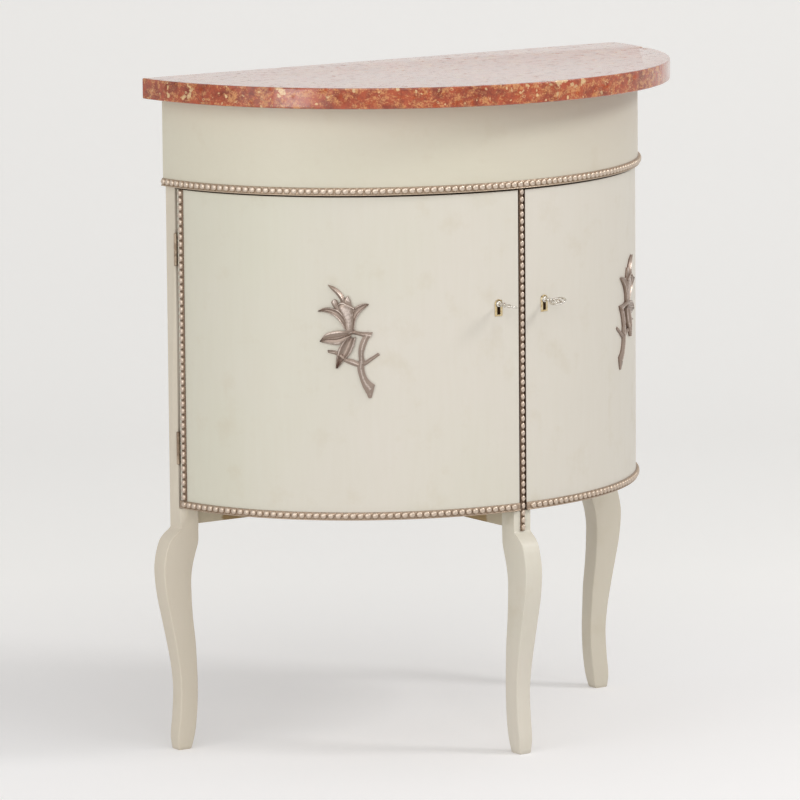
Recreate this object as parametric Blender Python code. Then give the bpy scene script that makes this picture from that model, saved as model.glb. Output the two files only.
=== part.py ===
"""Demilune cabinet: a half-round two-door cupboard on three cabriole legs, under a marble slab.

Units are metres, +Z is up and the front faces -Y. The origin is on the floor, in the middle of
the slab's width and depth. Everything is drawn from the middle of the straight back, where the
empty named back_centre stands and carries it. The plan is half an ellipse: a point at angle t
stands at x = half width * cos(t), y = -depth * sin(t), so t = 0 is the right rear corner, a
quarter turn is the middle of the front, and half a turn is the left rear corner. Pieces that
lie one inside the other use ellipses whose two semi-axes are shortened alike. The left half is
the right half mirrored, so paired pieces are modelled at +X and mirrored last.
"""

import math

import bmesh
import bpy
from mathutils import Matrix, Vector

# Clearances
GAP = 0.0003
OVERRUN = 0.004

# Whole cabinet
TOTAL_HEIGHT = 0.830
TOP_HALF_WIDTH = 0.355
TOP_DEPTH = 0.344
TOP_THICKNESS = 0.025
TOP_ARRIS = 0.0015
PLAN_STEPS = 48

# Frieze, the plain curved band under the slab
FRIEZE_HALF_WIDTH = 0.327
FRIEZE_DEPTH = 0.293
FRIEZE_THICKNESS = 0.016
FRIEZE_HEIGHT = 0.1082

# Doors, whose lower edges lie above the legs' heads by the sill rise
DOOR_SIDE_SETBACK = 0.004
DOOR_FRONT_SETBACK = 0.0018
DOOR_THICKNESS = 0.016
DOOR_SILL_RISE = 0.0258
DOOR_HEAD_GAP = 0.002
DOOR_SILL_GAP = 0.001
DOOR_REBATE_GAP = 0.0005
DOOR_MEETING_HALF = 0.005
DOOR_STEPS = 22

# Posts and legs
POST_DEPTH = 0.025
POST_WIDTH = 0.0245
REAR_POST_FACE = 0.0204
TONGUE_SETBACK = 0.0022
TONGUE_WIDTH = 0.0066
KNEE_REACH = 0.0245
LEG_HEIGHT = 0.2765
LEG_OUTER_SHARES = ((0.000, 0.19), (0.044, 0.25), (0.152, 0.13), (0.284, 0.06), (0.385, 0.17), (0.474, 0.35),
                    (0.600, 0.65), (0.695, 0.88), (0.778, 0.99), (0.831, 1.00), (0.886, 0.92), (0.922, 0.80),
                    (0.957, 0.58), (0.979, 0.30), (0.991, 0.10), (1.000, 0.00))
LEG_INNER_SHARES = ((0.000, 0.47), (0.044, 0.33), (0.152, 0.15), (0.284, 0.08), (0.385, 0.13), (0.474, 0.19),
                    (0.600, 0.36), (0.695, 0.43), (0.778, 0.43), (0.831, 0.34), (0.886, 0.16), (0.922, 0.03),
                    (1.000, 0.00))
LEG_WIDTH_SHARES = ((0.000, 0.68), (0.044, 0.76), (0.284, 0.84), (0.695, 1.00), (1.000, 1.00))

# Boards and rails, with the shelf below the doors' middle
BOARD_THICKNESS = 0.015
CARCASS_TOP_THICKNESS = 0.015
SHELF_THICKNESS = 0.012
SHELF_DROP = 0.02855
SHELF_SETBACK = 0.004
BACK_THICKNESS = 0.006
BACK_SETBACK = 0.002
RAIL_THICKNESS = 0.018
RAIL_RISE = 0.0035
RAIL_HEIGHT = 0.040
CLEAT_SIZE = 0.012
CLEAT_HEIGHT = 0.015
BACK_CLEAT_HALF_LENGTH = 0.250
BOARD_EDGE_GAP = 0.0008

# Bead mouldings
BEAD_PITCH = 0.00885
BEAD_RADIUS = 0.0037
BEAD_RISE = 0.0028
BEAD_PLATE = 0.0012
BEAD_TOP_SHARE = 0.5
RING_HEIGHT = 0.0096
RING_BEAD_DROP = 0.0039
RING_STOP_LENGTH = 0.005
SIDE_STRIP_WIDTH = 0.0078
SIDE_STRIP_OFFSET = 0.009
CENTRE_STRIP_WIDTH = 0.0062
CENTRE_BEAD_RADIUS = 0.003

# Butt hinges
HINGE_HEIGHT = 0.039
HINGE_END_DISTANCE = 0.074
HINGE_JOINT_GAP = 0.0022
KNUCKLE_RADIUS = 0.0021
KNUCKLE_BORE = 0.0012
KNUCKLE_PROUD = 0.0008
LEAF_THICKNESS = 0.001
LEAF_PLAY = 0.0002
LEAF_REACH = 0.0145
PIN_RADIUS = 0.0009
PIN_HEAD_RADIUS = 0.0018
PIN_HEAD_HEIGHT = 0.0004
PIN_SIDES = 12
KNUCKLE_STEPS = 10
KNUCKLE_MOUTH_TURN = math.radians(-10)
SCREW_LEAF_INSET = 0.0080
SCREW_SPACING = 0.020
SCREW_RADIUS = 0.0011
SCREW_HEAD_RADIUS = 0.0021
SCREW_HEAD_DEPTH = 0.0009
SCREW_LENGTH = 0.0105
SCREW_SIDES = 6

# Locks, with the keyhole above the door's middle
KEYHOLE_X = 0.034
KEYHOLE_RISE = 0.05995
KEYHOLE_RADIUS = 0.0044
KEYHOLE_DROP = 0.013
KEYHOLE_SLOT = 0.0046
KEYHOLE_SIDES = 16
ESCUTCHEON_RADIUS = 0.0054
ESCUTCHEON_WIDTH = 0.0104
ESCUTCHEON_DROP = 0.015
ESCUTCHEON_THICKNESS = 0.001
LOCK_POCKET = 0.003
LOCK_REAR = 0.015
LOCK_BELOW = 0.014
LOCK_ABOVE = 0.0222
LOCK_INNER_DEPTH = 0.0092
LOCK_WALL = 0.0012
LOCK_POST_GAP = 0.0005
BOLT_BOTTOM = 0.0125
BOLT_HEIGHT = 0.008
BOLT_THICKNESS = 0.003
BOLT_INSET = 0.0045
BOLT_TAIL = 0.006
BOLT_NOTCH_HALF = 0.003
BOLT_NOTCH_DEPTH = 0.003
BOLT_HOME_DEPTH = 0.0034
BOLT_THROW = 0.0088
MORTISE_SPARE = 0.001

# Keys, with the turn of each bit above the level, pointing away from the middle post
KEY_TURNS = {-1: math.radians(14), 1: math.radians(22)}
KEY_SHANK_RADIUS = 0.0023
KEY_SHANK_END = 0.0215
KEY_COLLAR_RADIUS = 0.004
KEY_COLLAR_DEPTH = 0.003
KEY_COLLAR_PROUD = 0.0025
KEY_NECK_RADIUS = 0.0019
KEY_NECK_PROUD = 0.0155
KEY_BOW_LENGTH = 0.024
KEY_BOW_WIDTH = 0.019
KEY_BOW_BAND = 0.0030
KEY_BOW_THICKNESS = 0.0026
KEY_BOW_BAR = 0.0024
KEY_BIT_REACH = 0.011
KEY_BIT_WIDTH = 0.005
KEY_BIT_THICKNESS = 0.0026
KEY_SIDES = 12
BOW_STEPS = 20

# Carved sprig on each door, above its middle, drawn flat: along the door towards the middle post, and up
SPRIG_HEIGHT = 0.139
SPRIG_RISE = 0.02045
SPRIG_TURN = math.radians(50)
SPRIG_EDGE = 0.0012
SPRIG_SLICE = 0.012

# Worked-out sizes
TOP_BOTTOM = TOTAL_HEIGHT - TOP_THICKNESS
FRIEZE_TOP = TOP_BOTTOM - GAP
FRIEZE_BOTTOM = FRIEZE_TOP - FRIEZE_HEIGHT + GAP
DOOR_TOP = FRIEZE_BOTTOM - DOOR_HEAD_GAP
DOOR_BOTTOM = LEG_HEIGHT + DOOR_SILL_RISE
DOOR_MIDDLE = (DOOR_TOP + DOOR_BOTTOM) / 2
KEYHOLE_HEIGHT = DOOR_MIDDLE + KEYHOLE_RISE
SPRIG_CENTRE_HEIGHT = DOOR_MIDDLE + SPRIG_RISE
SHELF_HEIGHT = DOOR_MIDDLE - SHELF_DROP
DOOR_HALF_WIDTH = FRIEZE_HALF_WIDTH - DOOR_SIDE_SETBACK
DOOR_DEPTH = FRIEZE_DEPTH - DOOR_FRONT_SETBACK
CARCASS_TOP_BOTTOM = FRIEZE_TOP - CARCASS_TOP_THICKNESS
POST_TOP = CARCASS_TOP_BOTTOM - GAP
REAR_POST_INNER = DOOR_HALF_WIDTH - POST_DEPTH
FRONT_POST_FACE = DOOR_DEPTH - TONGUE_SETBACK
FRONT_POST_BACK = FRONT_POST_FACE - POST_DEPTH
DOOR_HINGE_EDGE = REAR_POST_FACE + HINGE_JOINT_GAP
HINGE_AXIS_X = DOOR_HALF_WIDTH + KNUCKLE_PROUD
HINGE_AXIS_Y = REAR_POST_FACE + HINGE_JOINT_GAP / 2
RAIL_BOTTOM = LEG_HEIGHT + RAIL_RISE
RAIL_TOP = RAIL_BOTTOM + RAIL_HEIGHT
BOARD_BOTTOM = RAIL_TOP + GAP
BOARD_TOP = BOARD_BOTTOM + BOARD_THICKNESS
CLEAT_BOTTOM = SHELF_HEIGHT - GAP - CLEAT_HEIGHT
HINGE_CENTRES = {"upper": DOOR_TOP - HINGE_END_DISTANCE, "lower": DOOR_BOTTOM + HINGE_END_DISTANCE}
SIDES = {"left": -1, "right": 1}
ROUND = math.radians(40)


def clear_scene():
    """Remove every object that the file opened with."""
    for obj in list(bpy.data.objects):
        bpy.data.objects.remove(obj, do_unlink=True)


def linear(channel):
    """One sRGB channel, 0 to 1, as linear light."""
    return channel / 12.92 if channel <= 0.04045 else ((channel + 0.055) / 1.055) ** 2.4


def material(name, colour, roughness, metallic=0.0):
    """A Principled material from an sRGB colour given as three numbers of 255."""
    made = bpy.data.materials.new(name)
    made.use_nodes = True
    shader = made.node_tree.nodes["Principled BSDF"]
    rgba = [linear(channel / 255) for channel in colour] + [1.0]
    shader.inputs["Base Color"].default_value = rgba
    shader.inputs["Roughness"].default_value = roughness
    shader.inputs["Metallic"].default_value = metallic
    made.diffuse_color = rgba
    return made


def make_materials():
    """The finishes, named for the real ones."""
    return {
        "marble": material("red_marble", (178, 84, 52), 0.15),
        "paint": material("cream_paint", (216, 209, 193), 0.5),
        "silvered": material("silvered_wood", (165, 148, 135), 0.4),
        "wood": material("bare_wood", (150, 125, 88), 0.7),
        "hinge": material("silvered_hinge", (165, 148, 135), 0.4),
        "brass": material("brass", (196, 172, 118), 0.35, 1.0),
        "steel": material("steel", (190, 190, 188), 0.3, 1.0),
        "iron": material("iron", (110, 105, 98), 0.5, 1.0),
    }


def add(name, body, finish, axis=None, origin=None, smooth=None):
    """Turn a bmesh into a named object, carried by a joint's axis or else by the cabinet's back."""
    carrier = axis or bpy.data.objects["back_centre"]
    seat = axis.location if axis else Vector((0, 0, 0))
    origin = Vector(origin) if origin else seat
    bmesh.ops.recalc_face_normals(body, faces=body.faces)
    bmesh.ops.translate(body, verts=body.verts, vec=-origin)
    mesh = bpy.data.meshes.new(name)
    body.to_mesh(mesh)
    body.free()
    # A copy of the finish for each piece, so that one can be changed without the others.
    own = finish.copy()
    own.name = name + "_" + finish.name
    mesh.materials.append(own)
    if smooth is not None:
        mesh.shade_smooth()
        mesh.set_sharp_from_angle(angle=smooth)
    obj = bpy.data.objects.new(name, mesh)
    bpy.context.collection.objects.link(obj)
    obj.parent = carrier
    obj.location = origin - seat


def add_empty(name, location, parent=None):
    """An empty that carries other objects."""
    empty = bpy.data.objects.new(name, None)
    bpy.context.collection.objects.link(empty)
    empty.parent = parent
    empty.location = location
    return empty


def sided(body, side):
    """Mirror a piece that was modelled at +X when it belongs on the left."""
    if side < 0:
        bmesh.ops.scale(body, vec=(-1, 1, 1), verts=body.verts)
        bmesh.ops.reverse_faces(body, faces=body.faces)
    return body


def prism(outline, low, high):
    """A closed solid: a flat outline in X and Y, raised from one height to another."""
    body = bmesh.new()
    rings = [[body.verts.new((x, y, z)) for x, y in outline] for z in (low, high)]
    count = len(outline)
    for i in range(count):
        j = (i + 1) % count
        body.faces.new((rings[0][i], rings[0][j], rings[1][j], rings[1][i]))
    body.faces.new(list(reversed(rings[0])))
    body.faces.new(rings[1])
    bmesh.ops.recalc_face_normals(body, faces=body.faces)
    return body


def block(low, high):
    """A box between two corners."""
    outline = [(low[0], low[1]), (high[0], low[1]), (high[0], high[1]), (low[0], high[1])]
    return prism(outline, low[2], high[2])


def tube_profile(radii_and_heights, sides):
    """A solid turned about Z from (radius, height) pairs, closed by flat ends."""
    body = bmesh.new()
    rings = []
    for radius, height in radii_and_heights:
        turns = [math.tau * k / sides for k in range(sides)]
        rings.append([body.verts.new((radius * math.cos(a), radius * math.sin(a), height)) for a in turns])
    for lower, upper in zip(rings, rings[1:]):
        for k in range(sides):
            j = (k + 1) % sides
            body.faces.new((lower[k], lower[j], upper[j], upper[k]))
    body.faces.new(list(reversed(rings[0])))
    body.faces.new(rings[-1])
    bmesh.ops.recalc_face_normals(body, faces=body.faces)
    return body


def combine(body, others, operation):
    """Cut the others from a bmesh, or join them to it, with the exact Boolean."""
    def temporary(shape):
        bmesh.ops.recalc_face_normals(shape, faces=shape.faces)
        mesh = bpy.data.meshes.new("temporary")
        shape.to_mesh(mesh)
        shape.free()
        obj = bpy.data.objects.new("temporary", mesh)
        bpy.context.collection.objects.link(obj)
        return obj

    base = temporary(body)
    tools = [temporary(other) for other in others]
    for tool in tools:
        modifier = base.modifiers.new("combine", "BOOLEAN")
        modifier.operation = operation
        modifier.solver = "EXACT"
        modifier.object = tool
    graph = bpy.context.evaluated_depsgraph_get()
    result = bmesh.new()
    result.from_mesh(base.evaluated_get(graph).to_mesh())
    base.evaluated_get(graph).to_mesh_clear()
    for obj in [base] + tools:
        mesh = obj.data
        bpy.data.objects.remove(obj, do_unlink=True)
        bpy.data.meshes.remove(mesh)
    return result


def moved(body, matrix):
    """Apply a matrix to a bmesh."""
    bmesh.ops.transform(body, matrix=matrix, verts=body.verts)
    return body


def ellipse(half_width, depth, start, stop, steps):
    """Points on a plan ellipse between two angles."""
    turns = [start + (stop - start) * k / steps for k in range(steps + 1)]
    return [(half_width * math.cos(t), -depth * math.sin(t)) for t in turns]


def half_round(half_width, depth, back=0.0):
    """A D-shaped outline: the half ellipse, cut square at the given distance from the back."""
    start = math.asin(back / depth)
    return ellipse(half_width, depth, start, math.pi - start, PLAN_STEPS)


def sector(inset_in, inset_out, hinge_y, meeting_x, low, high, steps):
    """A curved panel between two ellipses, set in from the door's, from the hinge to the meeting edge."""
    arcs = []
    for inset in (inset_in, inset_out):
        half_width = DOOR_HALF_WIDTH - inset
        depth = DOOR_DEPTH - inset
        start = math.asin(hinge_y / depth)
        stop = math.acos(meeting_x / half_width)
        arcs.append(ellipse(half_width, depth, start, stop, steps))
    return prism(arcs[1] + arcs[0][::-1], low, high)


def share_at(shares, height):
    """Read a table of (height share, value share) pairs between its rows."""
    for (low, first), (high, last) in zip(shares, shares[1:]):
        if height <= high:
            return first + (last - first) * (height - low) / (high - low)
    return shares[-1][1]


def surface_frame(half_width, depth, turn):
    """A point on a plan ellipse with its directions: towards the middle post, outward, and up."""
    point = Vector((half_width * math.cos(turn), -depth * math.sin(turn), 0))
    along = Vector((-half_width * math.sin(turn), -depth * math.cos(turn), 0)).normalized()
    outward = Vector((math.cos(turn) / half_width, -math.sin(turn) / depth, 0)).normalized()
    return point, along, outward


def frame_matrix(point, along, outward):
    """A matrix whose columns are along, outward and up, at a point."""
    up = along.cross(outward)
    return Matrix([[along[i], outward[i], up[i], point[i]] for i in range(3)] + [[0, 0, 0, 1]])


def even_turns(half_width, depth, start, stop, count):
    """Angles that divide an ellipse's arc into equal lengths."""
    fine = PLAN_STEPS * PLAN_STEPS
    points = ellipse(half_width, depth, start, stop, fine)
    lengths = [0.0]
    for a, b in zip(points, points[1:]):
        lengths.append(lengths[-1] + math.dist(a, b))
    turns = []
    k = 0
    for j in range(count + 1):
        goal = lengths[-1] * j / count
        while k < fine - 1 and lengths[k + 1] < goal:
            k += 1
        part = (goal - lengths[k]) / (lengths[k + 1] - lengths[k])
        turns.append(start + (stop - start) * (k + part) / fine)
    return turns, lengths[-1]


def bead_row(edges, centres, low, high, row, radius, stops):
    """A moulding with one domed bead in each cell between neighbouring edges.

    edges and centres are (point, outward, across) triples: across runs over the moulding's width,
    from low to high, and the beads' centres lie at row. With stops, the end cells have no bead.
    """
    body = bmesh.new()

    def vertex(frame, across, rise):
        point, outward, over = frame
        return body.verts.new(point + over * across + outward * rise)

    corners = []
    for frame in edges:
        corners.append([vertex(frame, low, 0), vertex(frame, high, 0),
                        vertex(frame, high, BEAD_PLATE), vertex(frame, low, BEAD_PLATE)])
    for j, (here, there) in enumerate(zip(corners, corners[1:])):
        for a, b in ((0, 1), (1, 2), (3, 0)):
            body.faces.new((here[a], here[b], there[b], there[a]))
        if stops and j in (0, len(centres) - 1):
            body.faces.new((here[2], here[3], there[3], there[2]))
            continue
        frame = centres[j]
        step = (edges[j + 1][0] - edges[j][0]).normalized()

        def ring_vertex(turn, size, rise):
            point, outward, over = frame
            place = point + over * (row + size * math.sin(turn)) + step * size * math.cos(turn)
            return body.verts.new(place + outward * rise)

        base = [ring_vertex(math.radians(30 + 60 * k), radius, BEAD_PLATE) for k in range(6)]
        cap = [ring_vertex(math.radians(90 + 120 * k), radius * BEAD_TOP_SHARE, BEAD_PLATE + BEAD_RISE)
               for k in range(3)]
        body.faces.new((there[3], there[2], base[0], base[5]))
        body.faces.new((there[2], here[2], base[2], base[1], base[0]))
        body.faces.new((here[2], here[3], base[3], base[2]))
        body.faces.new((here[3], there[3], base[5], base[4], base[3]))
        for k in range(3):
            left, middle, right = base[2 * k], base[2 * k + 1], base[(2 * k + 2) % 6]
            body.faces.new((left, middle, cap[k]))
            body.faces.new((middle, right, cap[k]))
            body.faces.new((right, cap[(k + 1) % 3], cap[k]))
        body.faces.new(cap)
    body.faces.new(corners[0])
    body.faces.new(corners[-1])
    return body


def curved_moulding(half_width, depth, start, stop, bottom, stops):
    """A bead moulding that follows a plan ellipse, with its bottom edge at a height.

    With stops, a short plain block finishes each end.
    """
    margins = [RING_STOP_LENGTH / math.hypot(half_width * math.sin(t), depth * math.cos(t)) if stops else 0
               for t in (start, stop)]
    first = start + margins[0]
    last = stop - margins[1]
    length = even_turns(half_width, depth, first, last, 1)[1]
    count = round(length / BEAD_PITCH)
    turns = even_turns(half_width, depth, first, last, 2 * count)[0]
    if stops:
        turns = [start, (start + first) / 2] + turns + [(stop + last) / 2, stop]
    up = Vector((0, 0, 1))
    frames = []
    for turn in turns:
        point, _, outward = surface_frame(half_width, depth, turn)
        frames.append((point + up * bottom, outward, up))
    row = RING_HEIGHT - RING_BEAD_DROP
    return bead_row(frames[0::2], frames[1::2], 0, RING_HEIGHT, row, BEAD_RADIUS, stops)


def upright_frames(seat, outward, bottom, top):
    """Frames half a bead apart up a flat seat, for a straight moulding."""
    count = 2 * max(1, round((top - bottom) / BEAD_PITCH))
    across = outward.cross(Vector((0, 0, 1)))
    heights = [bottom + (top - bottom) * j / count for j in range(count + 1)]
    return [(Vector((seat.x, seat.y, height)), outward, across) for height in heights]


def straight_moulding(frames, width, radius):
    """A bead moulding on the frames, which stand half a bead apart."""
    return bead_row(frames[0::2], frames[1::2], -width / 2, width / 2, 0, radius, False)


def make_top(finish):
    """The marble slab, with its sharp edges eased."""
    body = prism(half_round(TOP_HALF_WIDTH, TOP_DEPTH), TOP_BOTTOM, TOTAL_HEIGHT)
    rims = [edge for edge in body.edges if abs(edge.verts[0].co.z - edge.verts[1].co.z) < GAP]
    bmesh.ops.bevel(body, geom=rims, offset=TOP_ARRIS, segments=1, affect="EDGES")
    add("marble_top", body, finish["marble"])


def make_frieze(finish):
    """The curved band, the bead moulding on its lower edge, and the board inside it."""
    outer = half_round(FRIEZE_HALF_WIDTH, FRIEZE_DEPTH)
    inner = half_round(FRIEZE_HALF_WIDTH - FRIEZE_THICKNESS, FRIEZE_DEPTH - FRIEZE_THICKNESS)
    add("frieze", prism(outer + inner[::-1], FRIEZE_BOTTOM, FRIEZE_TOP), finish["paint"])
    ring = curved_moulding(FRIEZE_HALF_WIDTH + GAP, FRIEZE_DEPTH + GAP, 0, math.pi, FRIEZE_BOTTOM, False)
    add("upper_bead_moulding", ring, finish["silvered"])
    inset = FRIEZE_THICKNESS + GAP
    board = half_round(FRIEZE_HALF_WIDTH - inset, FRIEZE_DEPTH - inset)
    add("carcass_top", prism(board, CARCASS_TOP_BOTTOM, FRIEZE_TOP), finish["wood"])


def leg_solid(outer_face, front):
    """One leg and post: a stack of rectangles that follows the outer and inner curves.

    outer_face is how far the post's outer face lies from the middle. A front leg is turned so
    that outward is -Y; a rear leg's outward is +X and its back is flush with the cabinet's.
    """
    tables = (LEG_OUTER_SHARES, LEG_INNER_SHARES, LEG_WIDTH_SHARES)
    levels = sorted({row[0] for table in tables for row in table})
    heights = [(level, LEG_HEIGHT * level) for level in levels] + [(1.0, POST_TOP)]
    body = bmesh.new()
    rings = []
    for level, height in heights:
        outer = outer_face + KNEE_REACH * share_at(LEG_OUTER_SHARES, level)
        inner = outer_face + KNEE_REACH * share_at(LEG_INNER_SHARES, level) - POST_DEPTH
        half = POST_WIDTH / 2 * share_at(LEG_WIDTH_SHARES, level)
        ring = []
        for outward, across in ((inner, -half), (outer, -half), (outer, half), (inner, half)):
            place = (across, -outward, height) if front else (outward, across - POST_WIDTH / 2, height)
            ring.append(body.verts.new(place))
        rings.append(ring)
    for lower, upper in zip(rings, rings[1:]):
        for k in range(4):
            j = (k + 1) % 4
            body.faces.new((lower[k], lower[j], upper[j], upper[k]))
    body.faces.new(list(reversed(rings[0])))
    body.faces.new(rings[-1])
    return body


def door_clearance(meeting_x):
    """What the door, its gaps and its swing take out of the posts, on the right."""
    outside = -(KNEE_REACH + OVERRUN)
    return sector(DOOR_THICKNESS + DOOR_REBATE_GAP, outside, REAR_POST_FACE, meeting_x,
                  DOOR_BOTTOM - DOOR_SILL_GAP, FRIEZE_BOTTOM, DOOR_STEPS)


def frieze_clearance():
    """What the frieze takes out of the posts' heads."""
    inset = FRIEZE_THICKNESS + GAP
    reach = KNEE_REACH + OVERRUN
    inner = half_round(FRIEZE_HALF_WIDTH - inset, FRIEZE_DEPTH - inset)
    outer = half_round(FRIEZE_HALF_WIDTH + reach, FRIEZE_DEPTH + reach)
    inner = [(inner[0][0], OVERRUN)] + inner + [(inner[-1][0], OVERRUN)]
    outer = [(outer[0][0], OVERRUN)] + outer + [(outer[-1][0], OVERRUN)]
    return prism(outer + inner[::-1], FRIEZE_BOTTOM - GAP, TOTAL_HEIGHT)


def lock_frame():
    """The keyhole's frame on the right door: towards the post, outward, up."""
    turn = math.acos(KEYHOLE_X / DOOR_HALF_WIDTH)
    point, along, outward = surface_frame(DOOR_HALF_WIDTH, DOOR_DEPTH, turn)
    point.z = KEYHOLE_HEIGHT
    return point, along, outward


def lock_front():
    """How far the lock case reaches from the key towards the post, measured in its own frame."""
    point, along, outward = lock_frame()
    depth = DOOR_THICKNESS - LOCK_POCKET + LOCK_INNER_DEPTH + LOCK_WALL
    flank = POST_WIDTH / 2 + LOCK_POST_GAP
    return (point.x - depth * outward.x - flank) / -along.x


def bolt_depths():
    """The bolt's near and far faces, measured inward from the door's outer face."""
    middle = DOOR_THICKNESS + BOLT_INSET
    return middle - BOLT_THICKNESS / 2, middle + BOLT_THICKNESS / 2


def bolt_mortise():
    """The hole in the middle post's flank that the right bolt enters."""
    near, far = bolt_depths()
    front = lock_front()
    reach = front + LOCK_POST_GAP + BOLT_THROW - BOLT_HOME_DEPTH + MORTISE_SPARE
    low = (front - GAP, -far - GAP, BOLT_BOTTOM - GAP)
    high = (reach, -near + GAP, BOLT_BOTTOM + BOLT_HEIGHT + GAP)
    return moved(block(low, high), frame_matrix(*lock_frame()))


def make_legs(finish):
    """Two rear legs and the front one, cut back for the doors and the frieze."""
    for name, side in SIDES.items():
        body = leg_solid(DOOR_HALF_WIDTH, False)
        cutters = [door_clearance(TONGUE_WIDTH / 2), frieze_clearance()]
        cutters += hinge_cutters(1)
        add(name + "_rear_leg", sided(combine(body, cutters, "DIFFERENCE"), side), finish["paint"])
    body = leg_solid(FRONT_POST_FACE, True)
    cutters = [frieze_clearance()]
    for side in SIDES.values():
        cutters += [sided(door_clearance(TONGUE_WIDTH / 2), side), sided(bolt_mortise(), side)]
    add("front_leg", combine(body, cutters, "DIFFERENCE"), finish["paint"])
    seat = Vector((0, -FRONT_POST_FACE - GAP, 0))
    frames = upright_frames(seat, Vector((0, -1, 0)), LEG_HEIGHT + GAP, FRIEZE_BOTTOM - GAP)
    strip = straight_moulding(frames, CENTRE_STRIP_WIDTH, CENTRE_BEAD_RADIUS)
    add("centre_bead_strip", strip, finish["silvered"])


def inner_board(inset, low, high):
    """A D-shaped board inside the doors, notched round the three posts."""
    half_width = DOOR_HALF_WIDTH - inset
    depth = DOOR_DEPTH - inset
    back = BACK_SETBACK + BACK_THICKNESS + GAP
    notch_x = REAR_POST_INNER - GAP
    notch_y = POST_WIDTH + GAP
    front_x = POST_WIDTH / 2 + GAP
    front_y = FRONT_POST_BACK - GAP
    start = math.asin(notch_y / depth)
    arc = ellipse(half_width, depth, start, math.acos(front_x / half_width), DOOR_STEPS)
    outline = [(notch_x, -back), (notch_x, -notch_y)] + arc + [(front_x, -front_y)]
    outline += [(-x, y) for x, y in reversed(outline)]
    return prism(outline, low, high)


def make_carcass(finish):
    """The boards, the rails under them and the back."""
    edge = DOOR_THICKNESS + BOARD_EDGE_GAP
    add("bottom_board", inner_board(edge, BOARD_BOTTOM, BOARD_TOP), finish["wood"])
    shelf = inner_board(edge + SHELF_SETBACK, SHELF_HEIGHT, SHELF_HEIGHT + SHELF_THICKNESS)
    add("shelf", shelf, finish["wood"])
    half = REAR_POST_INNER - GAP
    back_low = BACK_SETBACK + BACK_THICKNESS
    panel = block((-half, -back_low, BOARD_BOTTOM), (half, -BACK_SETBACK, POST_TOP))
    add("back_panel", panel, finish["wood"])
    rail_front = BACK_SETBACK + RAIL_THICKNESS
    rail = block((-half, -rail_front, RAIL_BOTTOM), (half, -BACK_SETBACK, RAIL_TOP))
    add("back_rail", rail, finish["wood"])
    rail = block((-RAIL_THICKNESS / 2, GAP - FRONT_POST_BACK, RAIL_BOTTOM),
                 (RAIL_THICKNESS / 2, -rail_front - GAP, RAIL_TOP))
    add("centre_rail", rail, finish["wood"])
    cleat_back = back_low + GAP
    cleat = block((-BACK_CLEAT_HALF_LENGTH, -cleat_back - CLEAT_SIZE, CLEAT_BOTTOM),
                  (BACK_CLEAT_HALF_LENGTH, -cleat_back, CLEAT_BOTTOM + CLEAT_HEIGHT))
    add("shelf_back_cleat", cleat, finish["wood"])
    cleat = block((-POST_WIDTH / 2, GAP - FRONT_POST_BACK, CLEAT_BOTTOM),
                  (POST_WIDTH / 2, GAP + CLEAT_SIZE - FRONT_POST_BACK, CLEAT_BOTTOM + CLEAT_HEIGHT))
    add("shelf_front_cleat", cleat, finish["wood"])


def keyhole_outline(grow):
    """The keyhole in its own frame: a round top over a slot, made larger all round by grow."""
    radius = KEYHOLE_RADIUS + grow
    half = KEYHOLE_SLOT / 2 + grow
    low = -KEYHOLE_DROP - grow
    meet = math.asin(half / radius)
    step = (math.tau - 2 * meet) / KEYHOLE_SIDES
    turns = [meet - math.pi / 2 + step * k for k in range(KEYHOLE_SIDES + 1)]
    return [(-half, low), (half, low)] + [(radius * math.cos(a), radius * math.sin(a)) for a in turns]


def through_door(outline, near, far):
    """Raise an outline drawn towards the post and up into a solid through the door's thickness."""
    body = prism(outline, near, far)
    turned = Matrix(((1, 0, 0, 0), (0, 0, -1, 0), (0, 1, 0, 0), (0, 0, 0, 1)))
    return moved(moved(body, turned), frame_matrix(*lock_frame()))


def lock_box(grow, near, far):
    """The lock case's outer block in the lock's frame, between two depths."""
    low = (-LOCK_REAR - grow, -far, -LOCK_BELOW - grow)
    high = (lock_front() + grow, -near, LOCK_ABOVE + grow)
    return moved(block(low, high), frame_matrix(*lock_frame()))


def hinge_screw(height, face, grow):
    """One of a leaf's screws at +X, or its hole when grown.

    Face 1 goes back into the post, and -1 into the door.
    """
    start = LEAF_PLAY / 2
    head = SCREW_HEAD_RADIUS + grow
    shank = SCREW_RADIUS + grow
    pairs = [(head, start), (shank, start + SCREW_HEAD_DEPTH + grow), (shank, start + SCREW_LENGTH + grow)]
    if grow > 0:
        pairs.insert(0, (head, start - LEAF_THICKNESS))
    turned = Matrix(((1, 0, 0, DOOR_HALF_WIDTH - SCREW_LEAF_INSET), (0, 0, face, -HINGE_AXIS_Y),
                     (0, -face, 0, height), (0, 0, 0, 1)))
    return moved(tube_profile(pairs, SCREW_SIDES), turned)


def hinge_screw_holes(face, centres):
    """The holes of the given hinges' screws, as cutters."""
    return [hinge_screw(centre + end * SCREW_SPACING / 2, face, GAP) for centre in centres for end in (-1, 1)]


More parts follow.
